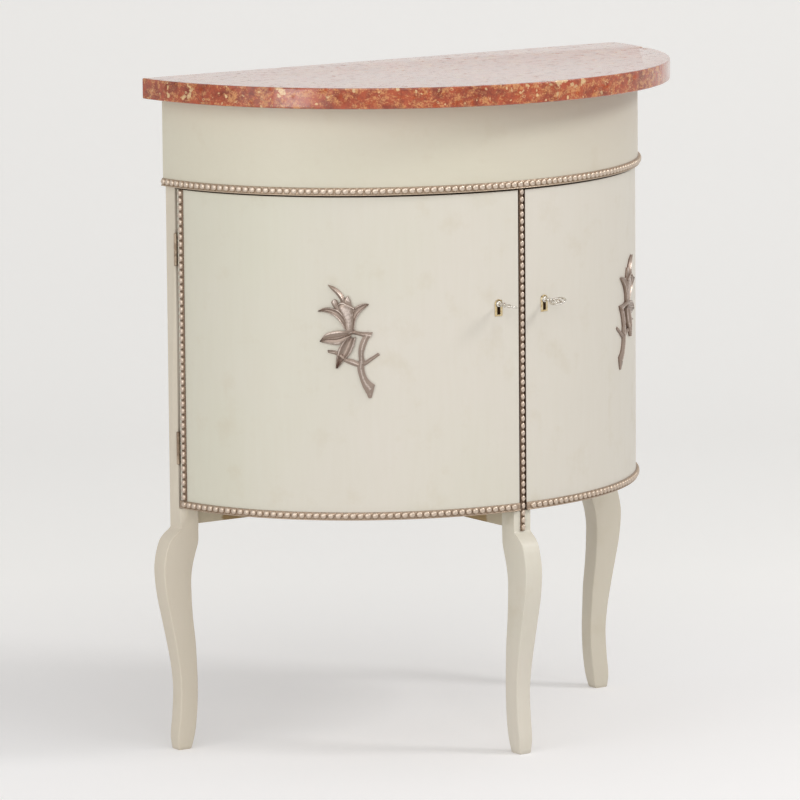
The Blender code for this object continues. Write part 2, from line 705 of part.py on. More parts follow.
def hinge_recess(height):
    """What the leaves and knuckles of a hinge at +X take out of the post's and the door's edges."""
    leaf = LEAF_PLAY / 2 + LEAF_THICKNESS + GAP
    knuckle = KNUCKLE_RADIUS + GAP
    low = height - HINGE_HEIGHT / 2 - PIN_HEAD_HEIGHT - 2 * GAP
    high = height + HINGE_HEIGHT / 2 + PIN_HEAD_HEIGHT + 2 * GAP
    outside = HINGE_AXIS_X + KNEE_REACH
    slot = block((HINGE_AXIS_X - LEAF_REACH - GAP, -HINGE_AXIS_Y - leaf, low),
                 (outside, leaf - HINGE_AXIS_Y, high))
    barrel = block((HINGE_AXIS_X - knuckle, -HINGE_AXIS_Y - knuckle, low),
                   (outside, knuckle - HINGE_AXIS_Y, high))
    return [slot, barrel]


def hinge_cutters(face):
    """Everything that both hinges of a side take out of the post (face 1) or the door (face -1)."""
    heights = list(HINGE_CENTRES.values())
    recesses = [cutter for height in heights for cutter in hinge_recess(height)]
    return recesses + hinge_screw_holes(face, heights)


def hinge_leaf(height, face):
    """One leaf with its curled knuckles at +X: face 1 is the post's leaf, -1 the door's.

    The section is drawn about the pin with the leaf to -X: the plate, then the curl round the
    bore back to a narrow mouth.
    """
    near = LEAF_PLAY / 2
    far = near + LEAF_THICKNESS
    start = math.asin(far / KNUCKLE_RADIUS)
    stop = math.tau + KNUCKLE_MOUTH_TURN
    turns = [start + (stop - start) * k / KNUCKLE_STEPS for k in range(KNUCKLE_STEPS + 1)]
    outline = [(KNUCKLE_RADIUS * math.cos(a), KNUCKLE_RADIUS * math.sin(a)) for a in turns]
    start = math.asin(near / KNUCKLE_BORE)
    turns = [stop + (start - stop) * k / KNUCKLE_STEPS for k in range(KNUCKLE_STEPS + 1)]
    outline += [(KNUCKLE_BORE * math.cos(a), KNUCKLE_BORE * math.sin(a)) for a in turns]
    outline += [(LEAF_REACH, near), (LEAF_REACH, far)]
    bottom = height - HINGE_HEIGHT / 2
    third = HINGE_HEIGHT / 3
    body = prism([(-x, face * y) for x, y in outline], bottom, bottom + HINGE_HEIGHT)
    clear = KNUCKLE_RADIUS + GAP
    levels = [(1, 2)] if face > 0 else [(0, 1), (2, 3)]
    cutters = []
    for low, high in levels:
        low_edge = bottom + third * low - (GAP / 2 if low else OVERRUN)
        high_edge = bottom + third * high + (GAP / 2 if high < 3 else OVERRUN)
        cutters.append(block((-clear, -clear, low_edge), (clear, clear, high_edge)))
    moved(body, Matrix.Translation((HINGE_AXIS_X, -HINGE_AXIS_Y, 0)))
    for cutter in cutters:
        moved(cutter, Matrix.Translation((HINGE_AXIS_X, -HINGE_AXIS_Y, 0)))
    return combine(body, cutters + hinge_screw_holes(face, [height]), "DIFFERENCE")


def hinge_pin(height):
    """The pin, with a small head at each end."""
    low = height - HINGE_HEIGHT / 2
    high = height + HINGE_HEIGHT / 2
    cap = PIN_HEAD_RADIUS * PIN_RADIUS / KNUCKLE_BORE
    pairs = [(cap, low - GAP - PIN_HEAD_HEIGHT), (PIN_HEAD_RADIUS, low - GAP), (PIN_RADIUS, low - GAP),
             (PIN_RADIUS, high + GAP), (PIN_HEAD_RADIUS, high + GAP), (cap, high + GAP + PIN_HEAD_HEIGHT)]
    body = tube_profile(pairs, PIN_SIDES)
    return moved(body, Matrix.Translation((HINGE_AXIS_X, -HINGE_AXIS_Y, 0)))


def make_hinges(name, side, axis, finish):
    """Two butt hinges on one side, with their pins and screws."""
    for place, height in HINGE_CENTRES.items():
        stem = name + "_" + place + "_hinge_"
        add(stem + "post_leaf", sided(hinge_leaf(height, 1), side), finish["hinge"])
        add(stem + "pin", sided(hinge_pin(height), side), finish["hinge"], None, axis.location, ROUND)
        leaf = sided(hinge_leaf(height, -1), side)
        add(stem + "door_leaf", leaf, finish["hinge"], axis, None, ROUND)
        for face, part in ((1, "post"), (-1, "door")):
            for end, where in ((-1, "lower"), (1, "upper")):
                screw = sided(hinge_screw(height + end * SCREW_SPACING / 2, face, 0), side)
                carrier = axis if face < 0 else None
                add(stem + part + "_" + where + "_screw", screw, finish["iron"], carrier)


def make_door(name, side, axis, finish):
    """A door panel with its bead mouldings."""
    panel = sector(DOOR_THICKNESS, 0, DOOR_HINGE_EDGE, DOOR_MEETING_HALF, DOOR_BOTTOM, DOOR_TOP, DOOR_STEPS)
    deep = DOOR_THICKNESS + OVERRUN
    cutters = [through_door(keyhole_outline(0), -OVERRUN, deep)]
    cutters.append(lock_box(GAP, DOOR_THICKNESS - LOCK_POCKET, deep))
    cutters += hinge_cutters(-1)
    add(name + "_door", sided(combine(panel, cutters, "DIFFERENCE"), side), finish["paint"], axis)
    half_width = DOOR_HALF_WIDTH + GAP
    depth = DOOR_DEPTH + GAP
    start = math.asin(DOOR_HINGE_EDGE / depth)
    stop = math.acos(DOOR_MEETING_HALF / half_width)
    ring = curved_moulding(half_width, depth, start, stop, DOOR_BOTTOM, True)
    add(name + "_door_bottom_beads", sided(ring, side), finish["silvered"], axis)
    turn = math.asin((DOOR_HINGE_EDGE + SIDE_STRIP_OFFSET) / depth)
    point, _, outward = surface_frame(half_width, depth, turn)
    frames = upright_frames(point, outward, DOOR_BOTTOM + RING_HEIGHT + GAP, DOOR_TOP)
    strip = straight_moulding(frames, SIDE_STRIP_WIDTH, BEAD_RADIUS)
    add(name + "_door_side_beads", sided(strip, side), finish["silvered"], axis)


def make_lock(name, side, axis, finish):
    """The escutcheon, the lock case and the sliding bolt."""
    radius = ESCUTCHEON_RADIUS
    half = ESCUTCHEON_WIDTH / 2
    meet = math.acos(min(1, half / radius))
    turns = [-meet + (math.pi + 2 * meet) * k / KEYHOLE_SIDES for k in range(KEYHOLE_SIDES + 1)]
    outline = [(-half, -ESCUTCHEON_DROP), (half, -ESCUTCHEON_DROP)]
    outline += [(radius * math.cos(a), radius * math.sin(a)) for a in turns]
    plate = through_door(outline, -GAP - ESCUTCHEON_THICKNESS, -GAP)
    hole = through_door(keyhole_outline(0), -OVERRUN, OVERRUN)
    plate = combine(plate, [hole], "DIFFERENCE")
    add(name + "_escutcheon", sided(plate, side), finish["brass"], axis)

    near = DOOR_THICKNESS - LOCK_POCKET + GAP
    far = near + LOCK_INNER_DEPTH - GAP
    case = lock_box(0, near, far + LOCK_WALL)
    bolt_near, bolt_far = bolt_depths()
    slot = block((0, -bolt_far - GAP, BOLT_BOTTOM - GAP),
                 (lock_front() + OVERRUN, -bolt_near + GAP, BOLT_BOTTOM + BOLT_HEIGHT + GAP))
    hollow = lock_box(-LOCK_WALL, near - OVERRUN, far)
    cutters = [hollow, moved(slot, frame_matrix(*lock_frame()))]
    case = combine(case, cutters, "DIFFERENCE")
    add(name + "_lock_case", sided(case, side), finish["iron"], axis)

    travel = BOLT_THROW * (math.pi / 2 + KEY_TURNS[side]) / math.tau
    tip = lock_front() - BOLT_HOME_DEPTH + travel
    bottom = BOLT_BOTTOM
    top = BOLT_BOTTOM + BOLT_HEIGHT
    notch = bottom + BOLT_NOTCH_DEPTH
    outline = [(-BOLT_TAIL, bottom), (-BOLT_NOTCH_HALF, bottom), (-BOLT_NOTCH_HALF, notch),
               (BOLT_NOTCH_HALF, notch), (BOLT_NOTCH_HALF, bottom), (tip, bottom), (tip, top),
               (-BOLT_TAIL, top)]
    bolt = through_door(outline, bolt_near, bolt_far)
    point, along, outward = lock_frame()
    seat = point - outward * (DOOR_THICKNESS + BOLT_INSET)
    add(name + "_lock_bolt", sided(bolt, side), finish["steel"], axis, (side * seat.x, seat.y, seat.z))


def make_key(name, side, axis, finish):
    """A key in its lock: shank, collar, bit and a flat pierced bow with a middle bar."""
    point, along, outward = lock_frame()
    turn = KEY_TURNS[side]
    shank = [(KEY_SHANK_RADIUS, -KEY_SHANK_END), (KEY_SHANK_RADIUS, -KEY_COLLAR_DEPTH),
             (KEY_COLLAR_RADIUS, -KEY_COLLAR_DEPTH), (KEY_COLLAR_RADIUS, KEY_COLLAR_PROUD),
             (KEY_NECK_RADIUS, KEY_COLLAR_PROUD), (KEY_NECK_RADIUS, KEY_NECK_PROUD)]
    body = tube_profile(shank, KEY_SIDES)
    bit_end = KEY_SHANK_END - GAP
    half = KEY_BIT_THICKNESS / 2
    bit = block((0, -half, -bit_end), (KEY_BIT_REACH, half, KEY_BIT_WIDTH - bit_end))
    middle = KEY_NECK_PROUD + KEY_BOW_LENGTH / 2 - KEY_NECK_RADIUS
    bow = bmesh.new()
    rings = []
    for inset in (0, KEY_BOW_BAND):
        for face in (-1, 1):
            ring = []
            for k in range(BOW_STEPS):
                a = math.tau * k / BOW_STEPS
                x = (KEY_BOW_WIDTH / 2 - inset) * math.cos(a)
                z = middle + (KEY_BOW_LENGTH / 2 - inset) * math.sin(a)
                ring.append(bow.verts.new((x, face * KEY_BOW_THICKNESS / 2, z)))
            rings.append(ring)
    for first, second in ((0, 1), (1, 3), (3, 2), (2, 0)):
        for k in range(BOW_STEPS):
            j = (k + 1) % BOW_STEPS
            bow.faces.new((rings[first][k], rings[first][j], rings[second][j], rings[second][k]))
    reach = KEY_BOW_LENGTH / 2 - KEY_BOW_BAND / 2
    half = KEY_BOW_BAR / 2
    bar = block((-half, -half, middle - reach), (half, half, middle + reach))
    body = combine(body, [bit, bow, bar], "UNION")
    # The key is drawn about Z with its bit at +X; the bit points away from the post, turned up.
    away = Vector((-math.cos(turn), 0, math.sin(turn)))
    third = Vector((0, 1, 0)).cross(away)
    placed = Matrix([[away[i], third[i], (0, 1, 0)[i], 0] for i in range(3)] + [[0, 0, 0, 1]])
    moved(body, placed)
    moved(body, frame_matrix(point, along, outward))
    origin = (side * point.x, point.y, point.z)
    add(name + "_key", sided(body, side), finish["steel"], axis, origin, ROUND)


def sprig_blades():
    """The sprig's blades as shares of its height: edge pairs from base to tip, crest height, name.

    Each row is (left along, left up, right along, right up), along being towards the middle post.
    """
    shares = {
        "flower_cup": (0.043, ((-0.015, 0.110, 0.034, 0.112), (-0.045, 0.200, 0.048, 0.200),
                               (-0.072, 0.275, 0.052, 0.270), (-0.083, 0.325, 0.046, 0.324))),
        "left_petal": (0.034, ((-0.040, 0.110, 0.020, 0.112), (-0.085, 0.185, -0.005, 0.215),
                               (-0.140, 0.246, -0.090, 0.308), (-0.210, 0.272, -0.192, 0.312),
                               (-0.266, 0.277, -0.264, 0.283))),
        "right_petal": (0.034, ((0.005, 0.112, 0.048, 0.118), (0.015, 0.215, 0.068, 0.185),
                                (0.050, 0.305, 0.113, 0.272), (0.105, 0.338, 0.138, 0.308),
                                (0.168, 0.338, 0.171, 0.331))),
        "top_petal": (0.032, ((-0.080, 0.310, -0.030, 0.310), (-0.112, 0.385, -0.055, 0.385),
                              (-0.138, 0.450, -0.096, 0.478), (-0.171, 0.500, -0.166, 0.505))),
        "back_petal": (0.026, ((-0.040, 0.300, 0.045, 0.300), (-0.035, 0.370, 0.030, 0.350),
                               (-0.012, 0.412, 0.004, 0.408))),
        "small_petal": (0.020, ((-0.110, 0.290, -0.060, 0.300), (-0.128, 0.335, -0.072, 0.350),
                                (-0.118, 0.362, -0.095, 0.368))),
        "upper_stem": (0.030, ((0.000, 0.125, 0.000, 0.092), (0.090, 0.108, 0.086, 0.074),
                               (0.194, 0.096, 0.155, 0.066))),
        "stem_bend": (0.030, ((0.155, 0.094, 0.194, 0.096), (0.122, 0.010, 0.162, 0.008),
                              (0.092, -0.088, 0.135, -0.084), (0.072, -0.185, 0.122, -0.180))),
        "lower_stem": (0.032, ((0.072, -0.170, 0.120, -0.165), (0.070, -0.235, 0.128, -0.240),
                               (0.090, -0.330, 0.152, -0.310), (0.163, -0.487, 0.208, -0.363))),
        "right_twig": (0.022, ((0.090, -0.175, 0.100, -0.210), (0.185, -0.125, 0.192, -0.155),
                               (0.262, -0.088, 0.266, -0.108))),
        "left_twig": (0.022, ((0.095, -0.200, 0.085, -0.168), (-0.010, -0.156, 0.002, -0.122),
                              (-0.100, -0.120, -0.090, -0.085), (-0.178, -0.078, -0.174, -0.058))),
        "upper_leaf": (0.030, ((0.050, 0.056, 0.046, 0.098), (-0.030, 0.010, -0.036, 0.112),
                               (-0.110, -0.012, -0.106, 0.104), (-0.190, -0.004, -0.187, 0.068),
                               (-0.250, 0.016, -0.249, 0.026))),
        "lower_leaf": (0.030, ((0.020, 0.055, 0.060, 0.040), (-0.060, -0.020, 0.045, -0.040),
                               (-0.105, -0.090, 0.018, -0.095), (-0.122, -0.150, -0.035, -0.155),
                               (-0.112, -0.212, -0.104, -0.207))),
    }
    return shares


def blade_solid(crest, rows):
    """One blade lying flat: X along the door, Y up it, Z its relief, with a raised middle line."""
    body = bmesh.new()
    rings = []
    for left_x, left_y, right_x, right_y in rows:
        left = Vector((left_x, left_y, 0)) * SPRIG_HEIGHT
        right = Vector((right_x, right_y, 0)) * SPRIG_HEIGHT
        edge = Vector((0, 0, SPRIG_EDGE))
        top = (left + right) / 2 + Vector((0, 0, crest * SPRIG_HEIGHT))
        rings.append([body.verts.new(place) for place in (left, right, right + edge, top, left + edge)])
    for lower, upper in zip(rings, rings[1:]):
        for k in range(5):
            j = (k + 1) % 5
            body.faces.new((lower[k], lower[j], upper[j], upper[k]))
    body.faces.new(rings[0])
    body.faces.new(list(reversed(rings[-1])))
    bmesh.ops.triangulate(body, faces=body.faces)
    bmesh.ops.recalc_face_normals(body, faces=body.faces)
    return body


def make_sprig(name, side, axis, finish):
    """The carved flower sprig, joined from its blades and bent to the door's curve."""
    blades = [blade_solid(crest, rows) for crest, rows in sprig_blades().values()]
    body = combine(blades[0], blades[1:], "UNION")
    reach = max(abs(vertex.co.x) for vertex in body.verts)
    slices = math.ceil(reach / SPRIG_SLICE)
    for k in range(-slices, slices + 1):
        geometry = body.verts[:] + body.edges[:] + body.faces[:]
        bmesh.ops.bisect_plane(body, geom=geometry, plane_co=(k * SPRIG_SLICE, 0, 0), plane_no=(1, 0, 0))
    bmesh.ops.triangulate(body, faces=body.faces)
    half_width = DOOR_HALF_WIDTH + GAP
    depth = DOOR_DEPTH + GAP
    rate = math.hypot(half_width * math.sin(SPRIG_TURN), depth * math.cos(SPRIG_TURN))
    for vertex in body.verts:
        turn = SPRIG_TURN + vertex.co.x / rate
        point, _, outward = surface_frame(half_width, depth, turn)
        point.z = SPRIG_CENTRE_HEIGHT + vertex.co.y
        vertex.co = point + outward * vertex.co.z
    add(name + "_flower_carving", sided(body, side), finish["silvered"], axis)


def main():
    clear_scene()
    back = add_empty("back_centre", (0, TOP_DEPTH / 2, 0))
    finish = make_materials()
    make_top(finish)
    make_frieze(finish)
    make_legs(finish)
    make_carcass(finish)
    for name, side in SIDES.items():
        place = (side * (HINGE_AXIS_X), -HINGE_AXIS_Y, 0)
        axis = add_empty(name + "_door_axis", place, back)
        make_hinges(name, side, axis, finish)
        make_door(name, side, axis, finish)
        make_lock(name, side, axis, finish)
        make_key(name, side, axis, finish)
        make_sprig(name, side, axis, finish)


main()
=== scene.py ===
# %% [markdown]
# # A demilune cabinet: looks round a fixed frame
#
# A demilune cabinet is a half-round cupboard that stands with its flat back on a wall. This one has
# a polished red marble slab, a body painted in cream oil paint, rows of small silvered beads, and a
# carved flower on each of its two doors. The lesson starts from a finished CAD model, whose pieces
# are already in place, and gives each visible piece its real surface. Every piece here is worked out
# in metres in the model's own frame, so that nothing has to be fitted by eye.

# %% Load the frame and keep its box
import math

import bmesh
import bpy
import numpy as np
from mathutils import Matrix, Vector


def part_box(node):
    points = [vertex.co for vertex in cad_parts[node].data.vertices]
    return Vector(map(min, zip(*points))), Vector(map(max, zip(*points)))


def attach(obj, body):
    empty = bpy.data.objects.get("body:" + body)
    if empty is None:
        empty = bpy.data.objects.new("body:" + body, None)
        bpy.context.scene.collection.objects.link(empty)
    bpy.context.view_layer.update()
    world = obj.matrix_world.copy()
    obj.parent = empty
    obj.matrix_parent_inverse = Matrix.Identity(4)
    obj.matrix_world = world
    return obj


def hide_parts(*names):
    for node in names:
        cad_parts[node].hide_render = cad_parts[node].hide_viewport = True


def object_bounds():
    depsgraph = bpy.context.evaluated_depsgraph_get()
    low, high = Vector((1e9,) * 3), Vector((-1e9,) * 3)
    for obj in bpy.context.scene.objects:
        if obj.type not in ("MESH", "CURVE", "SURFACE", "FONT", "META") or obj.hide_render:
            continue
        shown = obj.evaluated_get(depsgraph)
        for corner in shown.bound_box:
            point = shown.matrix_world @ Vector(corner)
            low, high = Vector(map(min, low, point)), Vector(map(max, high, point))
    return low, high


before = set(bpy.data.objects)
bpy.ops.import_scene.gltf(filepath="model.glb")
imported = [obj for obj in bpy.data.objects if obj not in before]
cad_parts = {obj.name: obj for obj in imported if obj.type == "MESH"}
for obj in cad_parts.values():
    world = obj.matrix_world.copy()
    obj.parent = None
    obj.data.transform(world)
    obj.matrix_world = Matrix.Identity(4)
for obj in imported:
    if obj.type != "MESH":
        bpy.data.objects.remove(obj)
frame_low, frame_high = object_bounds()

# %% [markdown]
# ## Camera and studio
#
# A product photographer stands far back with a long lens, so that upright edges stay upright. The
# camera is therefore nearly eight metres away, a little above the slab. Its axes are worked out
# from a heading, a downward tilt and a slight roll, as a tripod head is set.

# %% Camera
CAMERA_PLACE = (-4.40068, -6.21515, 1.60218)
CAMERA_HEADING = 0.6055
CAMERA_TILT = 0.1535
CAMERA_ROLL = -0.0083
LENS = 282.2
SENSOR = 36.0


def in_scene(name, data):
    """A new object with this data, in the scene."""
    made = bpy.data.objects.new(name, data)
    bpy.context.collection.objects.link(made)
    return made


def camera_axes():
    """Right, up and backward of a camera turned by heading, tilted down and rolled about its view."""
    flat = math.cos(CAMERA_TILT)
    view = Vector((math.sin(CAMERA_HEADING) * flat, math.cos(CAMERA_HEADING) * flat, -math.sin(CAMERA_TILT)))
    level = view.cross(Vector((0, 0, 1))).normalized()
    upward = level.cross(view)
    right = math.cos(CAMERA_ROLL) * level + math.sin(CAMERA_ROLL) * upward
    return right, view.cross(right) * -1, -view


camera = in_scene("camera", bpy.data.cameras.new("camera"))
camera.data.lens = LENS
camera.data.sensor_width = SENSOR
axes = camera_axes()
camera.matrix_world = Matrix.Translation(CAMERA_PLACE) @ Matrix(axes).transposed().to_4x4()
bpy.context.scene.camera = camera
bpy.context.scene.view_settings.view_transform = "Standard"
print("camera looks along", [round(-v, 3) for v in axes[2]])

# %% [markdown]
# ## Tools for surfaces
#
# Every new piece is a surface worked out with numpy. A ring is a row of points, and a shell is a
# stack of rings with a face between each four neighbours. Three helpers cover almost everything: a
# shell from its rings, a slab raised from a flat outline with its rims eased as a plane or sandpaper
# would leave them, and a profile carried along a path.

# %% Shells from rings
UP = np.array([0.0, 0.0, 1.0])
# The ring beside a rounding stands this many of its radii from the rim.
EASE_REACH = 1.6


def shell(rings, looped=False):
    """One closed surface from rings of points, an array of (rings, points in a ring, 3).

    Each point is joined to its neighbour in the ring and to the one above. The first and last
    rings get a flat end, or when looped the last ring is joined to the first.
    """
    rows, columns = rings.shape[:2]
    index = np.arange(rows * columns).reshape(rows, columns)
    lower = index if looped else index[:-1]
    upper = np.roll(index, -1, 0) if looped else index[1:]
    quads = np.stack([lower, np.roll(lower, -1, 1), np.roll(upper, -1, 1), upper], -1)
    faces = quads.reshape(-1, 4).tolist()
    if not looped:
        faces += [index[0][::-1].tolist(), index[-1].tolist()]
    return rings.reshape(-1, 3), faces


def together(shells):
    """Several surfaces as one: their points in one list, and their faces numbered on."""
    starts = np.cumsum([0] + [len(points) for points, faces in shells])
    faces = [[i + int(start) for i in face] for (_, own), start in zip(shells, starts) for face in own]
    return np.concatenate([points for points, _ in shells]), faces


def softened(outline, radius, steps=4):
    """Round an outline's sharp corners: each becomes a parabola from radius before to radius after."""
    before = np.roll(outline, 1, 0) - outline
    after = np.roll(outline, -1, 0) - outline
    before /= np.linalg.norm(before, axis=1, keepdims=True)
    after /= np.linalg.norm(after, axis=1, keepdims=True)
    sharp = (before * after).sum(1) > -0.9
    t = np.linspace(0, 1, steps + 1)[None, :, None]
    corner = outline[:, None]
    curve = (1 - t) ** 2 * (corner + radius * before[:, None]) + 2 * t * (1 - t) * corner
    curve += t ** 2 * (corner + radius * after[:, None])
    curve[~sharp] = outline[~sharp][:, None]
    kept = np.ones(curve.shape[:2], bool)
    kept[~sharp, 1:] = False
    return curve[kept]


def inset(outline, amount):
    """Move an outline inwards: each corner goes along the sum of its two edges' normals, mitred."""
    edge = np.roll(outline, -1, 0) - outline
    normal = np.stack([edge[:, 1], -edge[:, 0]], 1)
    normal /= np.linalg.norm(normal, axis=1, keepdims=True)
    last = np.roll(normal, 1, 0)
    mitre = (normal + last) / (1 + (normal * last).sum(1, keepdims=True))
    return outline - amount * mitre


def slab(outline, low, high, ease, steps=3, middle=None):
    """A flat outline, counter-clockwise, raised from low to high, with a quarter round on each rim.

    One more ring stands just above the lower rounding and one just below the upper, so that the
    rounding shades only its own width. With a middle point the flat ends get such a ring too, a
    fiftieth of the way to it.
    """
    turns = np.linspace(0, math.pi / 2, steps + 1)
    shrink = ease * (1 - np.sin(turns))
    rise = ease * (1 - np.cos(turns))
    levels = [(s, low + r) for s, r in zip(shrink, rise)]
    levels += [(0, low + EASE_REACH * ease), (0, high - EASE_REACH * ease)]
    levels += [(s, high - r) for s, r in zip(shrink, rise)][::-1]
    rings = np.stack([np.column_stack([inset(outline, s), np.full(len(outline), z)]) for s, z in levels])
    if middle is not None:
        ends = rings[[0, -1]]
        ends[..., :2] += (np.array(middle) - ends[..., :2]) / 50
        rings = np.concatenate([ends[:1], rings, ends[1:]])
    return shell(rings)


def raised(outline, low, high):
    """A flat outline raised from low to high with square rims."""
    return shell(np.stack([np.column_stack([outline, np.full(len(outline), z)]) for z in (low, high)]))


def carried(profile, seats, across, outward, looped=False):
    """A closed profile of (across, outward) pairs carried along seats, each with its two directions."""
    points = seats[:, None] + profile[None, :, :1] * across[:, None] + profile[None, :, 1:] * outward[:, None]
    return shell(points, looped)


def turned(pairs, sides=32):
    """A shape turned on a lathe about Z, from (radius, height) pairs."""
    pairs = np.array(pairs, float)
    angle = np.linspace(0, math.tau, sides, endpoint=False)
    ring = np.stack([np.cos(angle), np.sin(angle)], 1)
    rings = pairs[:, :1, None] * ring[None]
    heights = np.broadcast_to(pairs[:, 1:, None], (len(pairs), sides, 1))
    return shell(np.concatenate([rings, heights], 2))


def placed(surface, origin, x_way, y_way, z_way):
    """Put a surface drawn about the origin at a point, with its axes along three directions."""
    points, faces = surface
    axes_of = np.array([x_way, y_way, z_way], float)
    return points @ axes_of + np.array(origin, float), faces


def mirrored(surface, side):
    """A surface drawn at +X, or its mirror image at -X with its faces turned back outwards."""
    points, faces = surface
    return (points, faces) if side > 0 else (points * [-1, 1, 1], [face[::-1] for face in faces])


# %% [markdown]
# A surface becomes an object here. Its faces are turned outwards, then shaded smooth except where two
# faces meet more sharply than the crease angle, as a rounded piece with crisp arrises is. Holes and
# recesses are cut with the exact Boolean, as they are cut in wood after the piece is shaped.

# %% From a surface to a piece
CREASE = math.radians(35)
WELD = 1e-7
JOIN = 2e-6


def new_object(name, surface):
    """A mesh object from points and faces, with points in one place joined and its faces turned outwards."""
    points, faces = surface
    mesh = bpy.data.meshes.new(name)
    mesh.from_pydata(points.tolist(), [], faces)
    body = bmesh.new()
    body.from_mesh(mesh)
    bmesh.ops.remove_doubles(body, verts=body.verts, dist=WELD)
    bmesh.ops.recalc_face_normals(body, faces=body.faces)
    body.to_mesh(mesh)
    body.free()
    return in_scene(name, mesh)


def joined_up(mesh):
    """Join the points that a Boolean leaves within two micrometres of each other, and drop slivers."""
    body = bmesh.new()
    body.from_mesh(mesh)
    bmesh.ops.remove_doubles(body, verts=body.verts, dist=JOIN)
    bmesh.ops.dissolve_degenerate(body, edges=body.edges, dist=JOIN)
    body.to_mesh(mesh)
    body.free()


def carve(piece, surfaces, operation="DIFFERENCE"):
    """Cut closed surfaces out of a piece, or weld them to it, one by one."""
    for surface in surfaces:
        tool = new_object(piece.name + "_tool", surface)
        step = piece.modifiers.new("carve", "BOOLEAN")
        step.operation = operation
        step.solver = "EXACT"
        step.object = tool
        bpy.context.view_layer.update()
        graph = bpy.context.evaluated_depsgraph_get()
        carved = bpy.data.meshes.new_from_object(piece.evaluated_get(graph))
        piece.modifiers.clear()
        bpy.data.objects.remove(tool, do_unlink=True)
        joined_up(carved)
        piece.data = carved


def give_finish(piece, finish):
    """Make a finish the only one of a piece."""
    piece.data.materials.clear()
    piece.data.materials.append(finish)


def settle(piece, finish, body, replaced=(), crease=CREASE):
    """Shade a piece, give it its finish, let it ride on its body and hide the solids it stands for."""
    piece.data.shade_smooth()
    piece.data.set_sharp_from_angle(angle=crease)
    give_finish(piece, finish)
    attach(piece, body)
    if replaced:
        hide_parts(*replaced)
    print(piece.name, len(piece.data.polygons), "faces")
    return piece


# %% [markdown]
# ## Colours and nodes
#
# Colours are written as sRGB hex values, as a paint chart gives them, and one function turns them to
# the linear values that a shader wants. A look is a tree of nodes. One method adds any node, and short
# ones name the few kinds that nearly every finish is made of.

# %% Colours and nodes
def tint(hex_value):
    """An sRGB hex colour as linear red, green, blue and alpha."""
    channels = [int(hex_value[k:k + 2], 16) / 255 for k in (0, 2, 4)]
    return [c / 12.92 if c <= 0.04045 else ((c + 0.055) / 1.055) ** 2.4 for c in channels] + [1.0]


class Look:
    """A tree of nodes. Each method adds a node and gives its output, which the next one can take."""

    def __init__(self, owner):
        self.owner = owner
        owner.use_nodes = True
        self.tree = owner.node_tree

    def feed(self, socket, value):
        """Give an input another node's output, or a value."""
        if isinstance(value, bpy.types.NodeSocket):
            self.tree.links.new(value, socket)
        else:
            socket.default_value = value

    def node(self, kind, inputs, output=0, **settings):
        """Add a node with its inputs by name or number, and with settings that are its own choices."""
        made = self.tree.nodes.new("ShaderNode" + kind)
        for key, value in settings.items():
            setattr(made, key, value)
        for socket, value in inputs.items():
            self.feed(made.inputs[socket], value)
        return made.outputs[output]

    def maths(self, operation, *values):
        """A sum, product or other reckoning of numbers."""
        return self.node("Math", dict(enumerate(values)), operation=operation)

    def vector(self, operation, *values, output=0):
        """The same for vectors."""
        return self.node("VectorMath", dict(enumerate(values)), output, operation=operation)

    def parts(self, kind, value):
        """The three parts of a vector or a colour."""
        return self.node(kind, {0: value}).node.outputs[:3]

    def spread(self, value, low=0, high=1, start=0, end=1, **settings):
        """A number that goes from start to end as another goes from low to high, and stays there."""
        return self.node("MapRange", {0: value, 1: low, 2: high, 3: start, 4: end}, **settings)

    def noise(self, place, scale, detail, roughness=0.5, output=0):
        """Clouds, with so many to a metre and so many finer layers."""
        inputs = {"Vector": place, "Scale": scale, "Detail": detail, "Roughness": roughness}
        return self.node("TexNoise", inputs, output)

    def stretched(self, place, scale, shift=(0, 0, 0)):
        """Coordinates scaled for each axis, then shifted."""
        return self.node("Mapping", {"Vector": place, "Scale": scale, "Location": shift})

    def mix(self, share, first, second):
        """The first colour where the share is 0 and the second where it is 1.

        A Mix node takes colours at its inputs 6 and 7, and gives one at its output 2.
        """
        return self.node("Mix", {0: share, 6: first, 7: second}, 2, data_type="RGBA")


class Finish(Look):
    """A material's look, with its shader and the surface's own coordinates in metres."""

    def __init__(self, name):
        super().__init__(bpy.data.materials.new(name))
        self.shader = self.tree.nodes["Principled BSDF"]
        self.place = self.node("TexCoord", {}, "Object")

    def done(self, inputs, bump=None):
        """Feed the shader by its inputs' names, with a bump of (height, strength, distance) if given."""
        if bump:
            names = dict(zip(("Height", "Strength", "Distance"), bump))
            inputs = {**inputs, "Normal": self.node("Bump", names)}
        for name, value in inputs.items():
            self.feed(self.shader.inputs[name], value)
        return self.owner


def along_one(way, on_it, off_it):
    """Three scales, one value for the axis named X, Y or Z and another for the two others."""
    return [float(on_it if axis == way else off_it) for axis in "XYZ"]


# %% [markdown]
# ## The studio
#
# A pale floor sweeps up behind the cabinet into a wall in one curve, as paper does in a studio. It is
# seen from its front only: from behind it is clear, so that the cabinet's back can be looked at. To
# the camera, and in shiny things, the paper is a little paler than its lit colour. The key lamp stands
# low on the right and draws the shadow on the floor. Two wide soft lamps fill from the front and the
# left, a small one adds some light from above, a smaller one on the left puts a sheen on the slab's edge,
# and the pale surroundings do the rest.

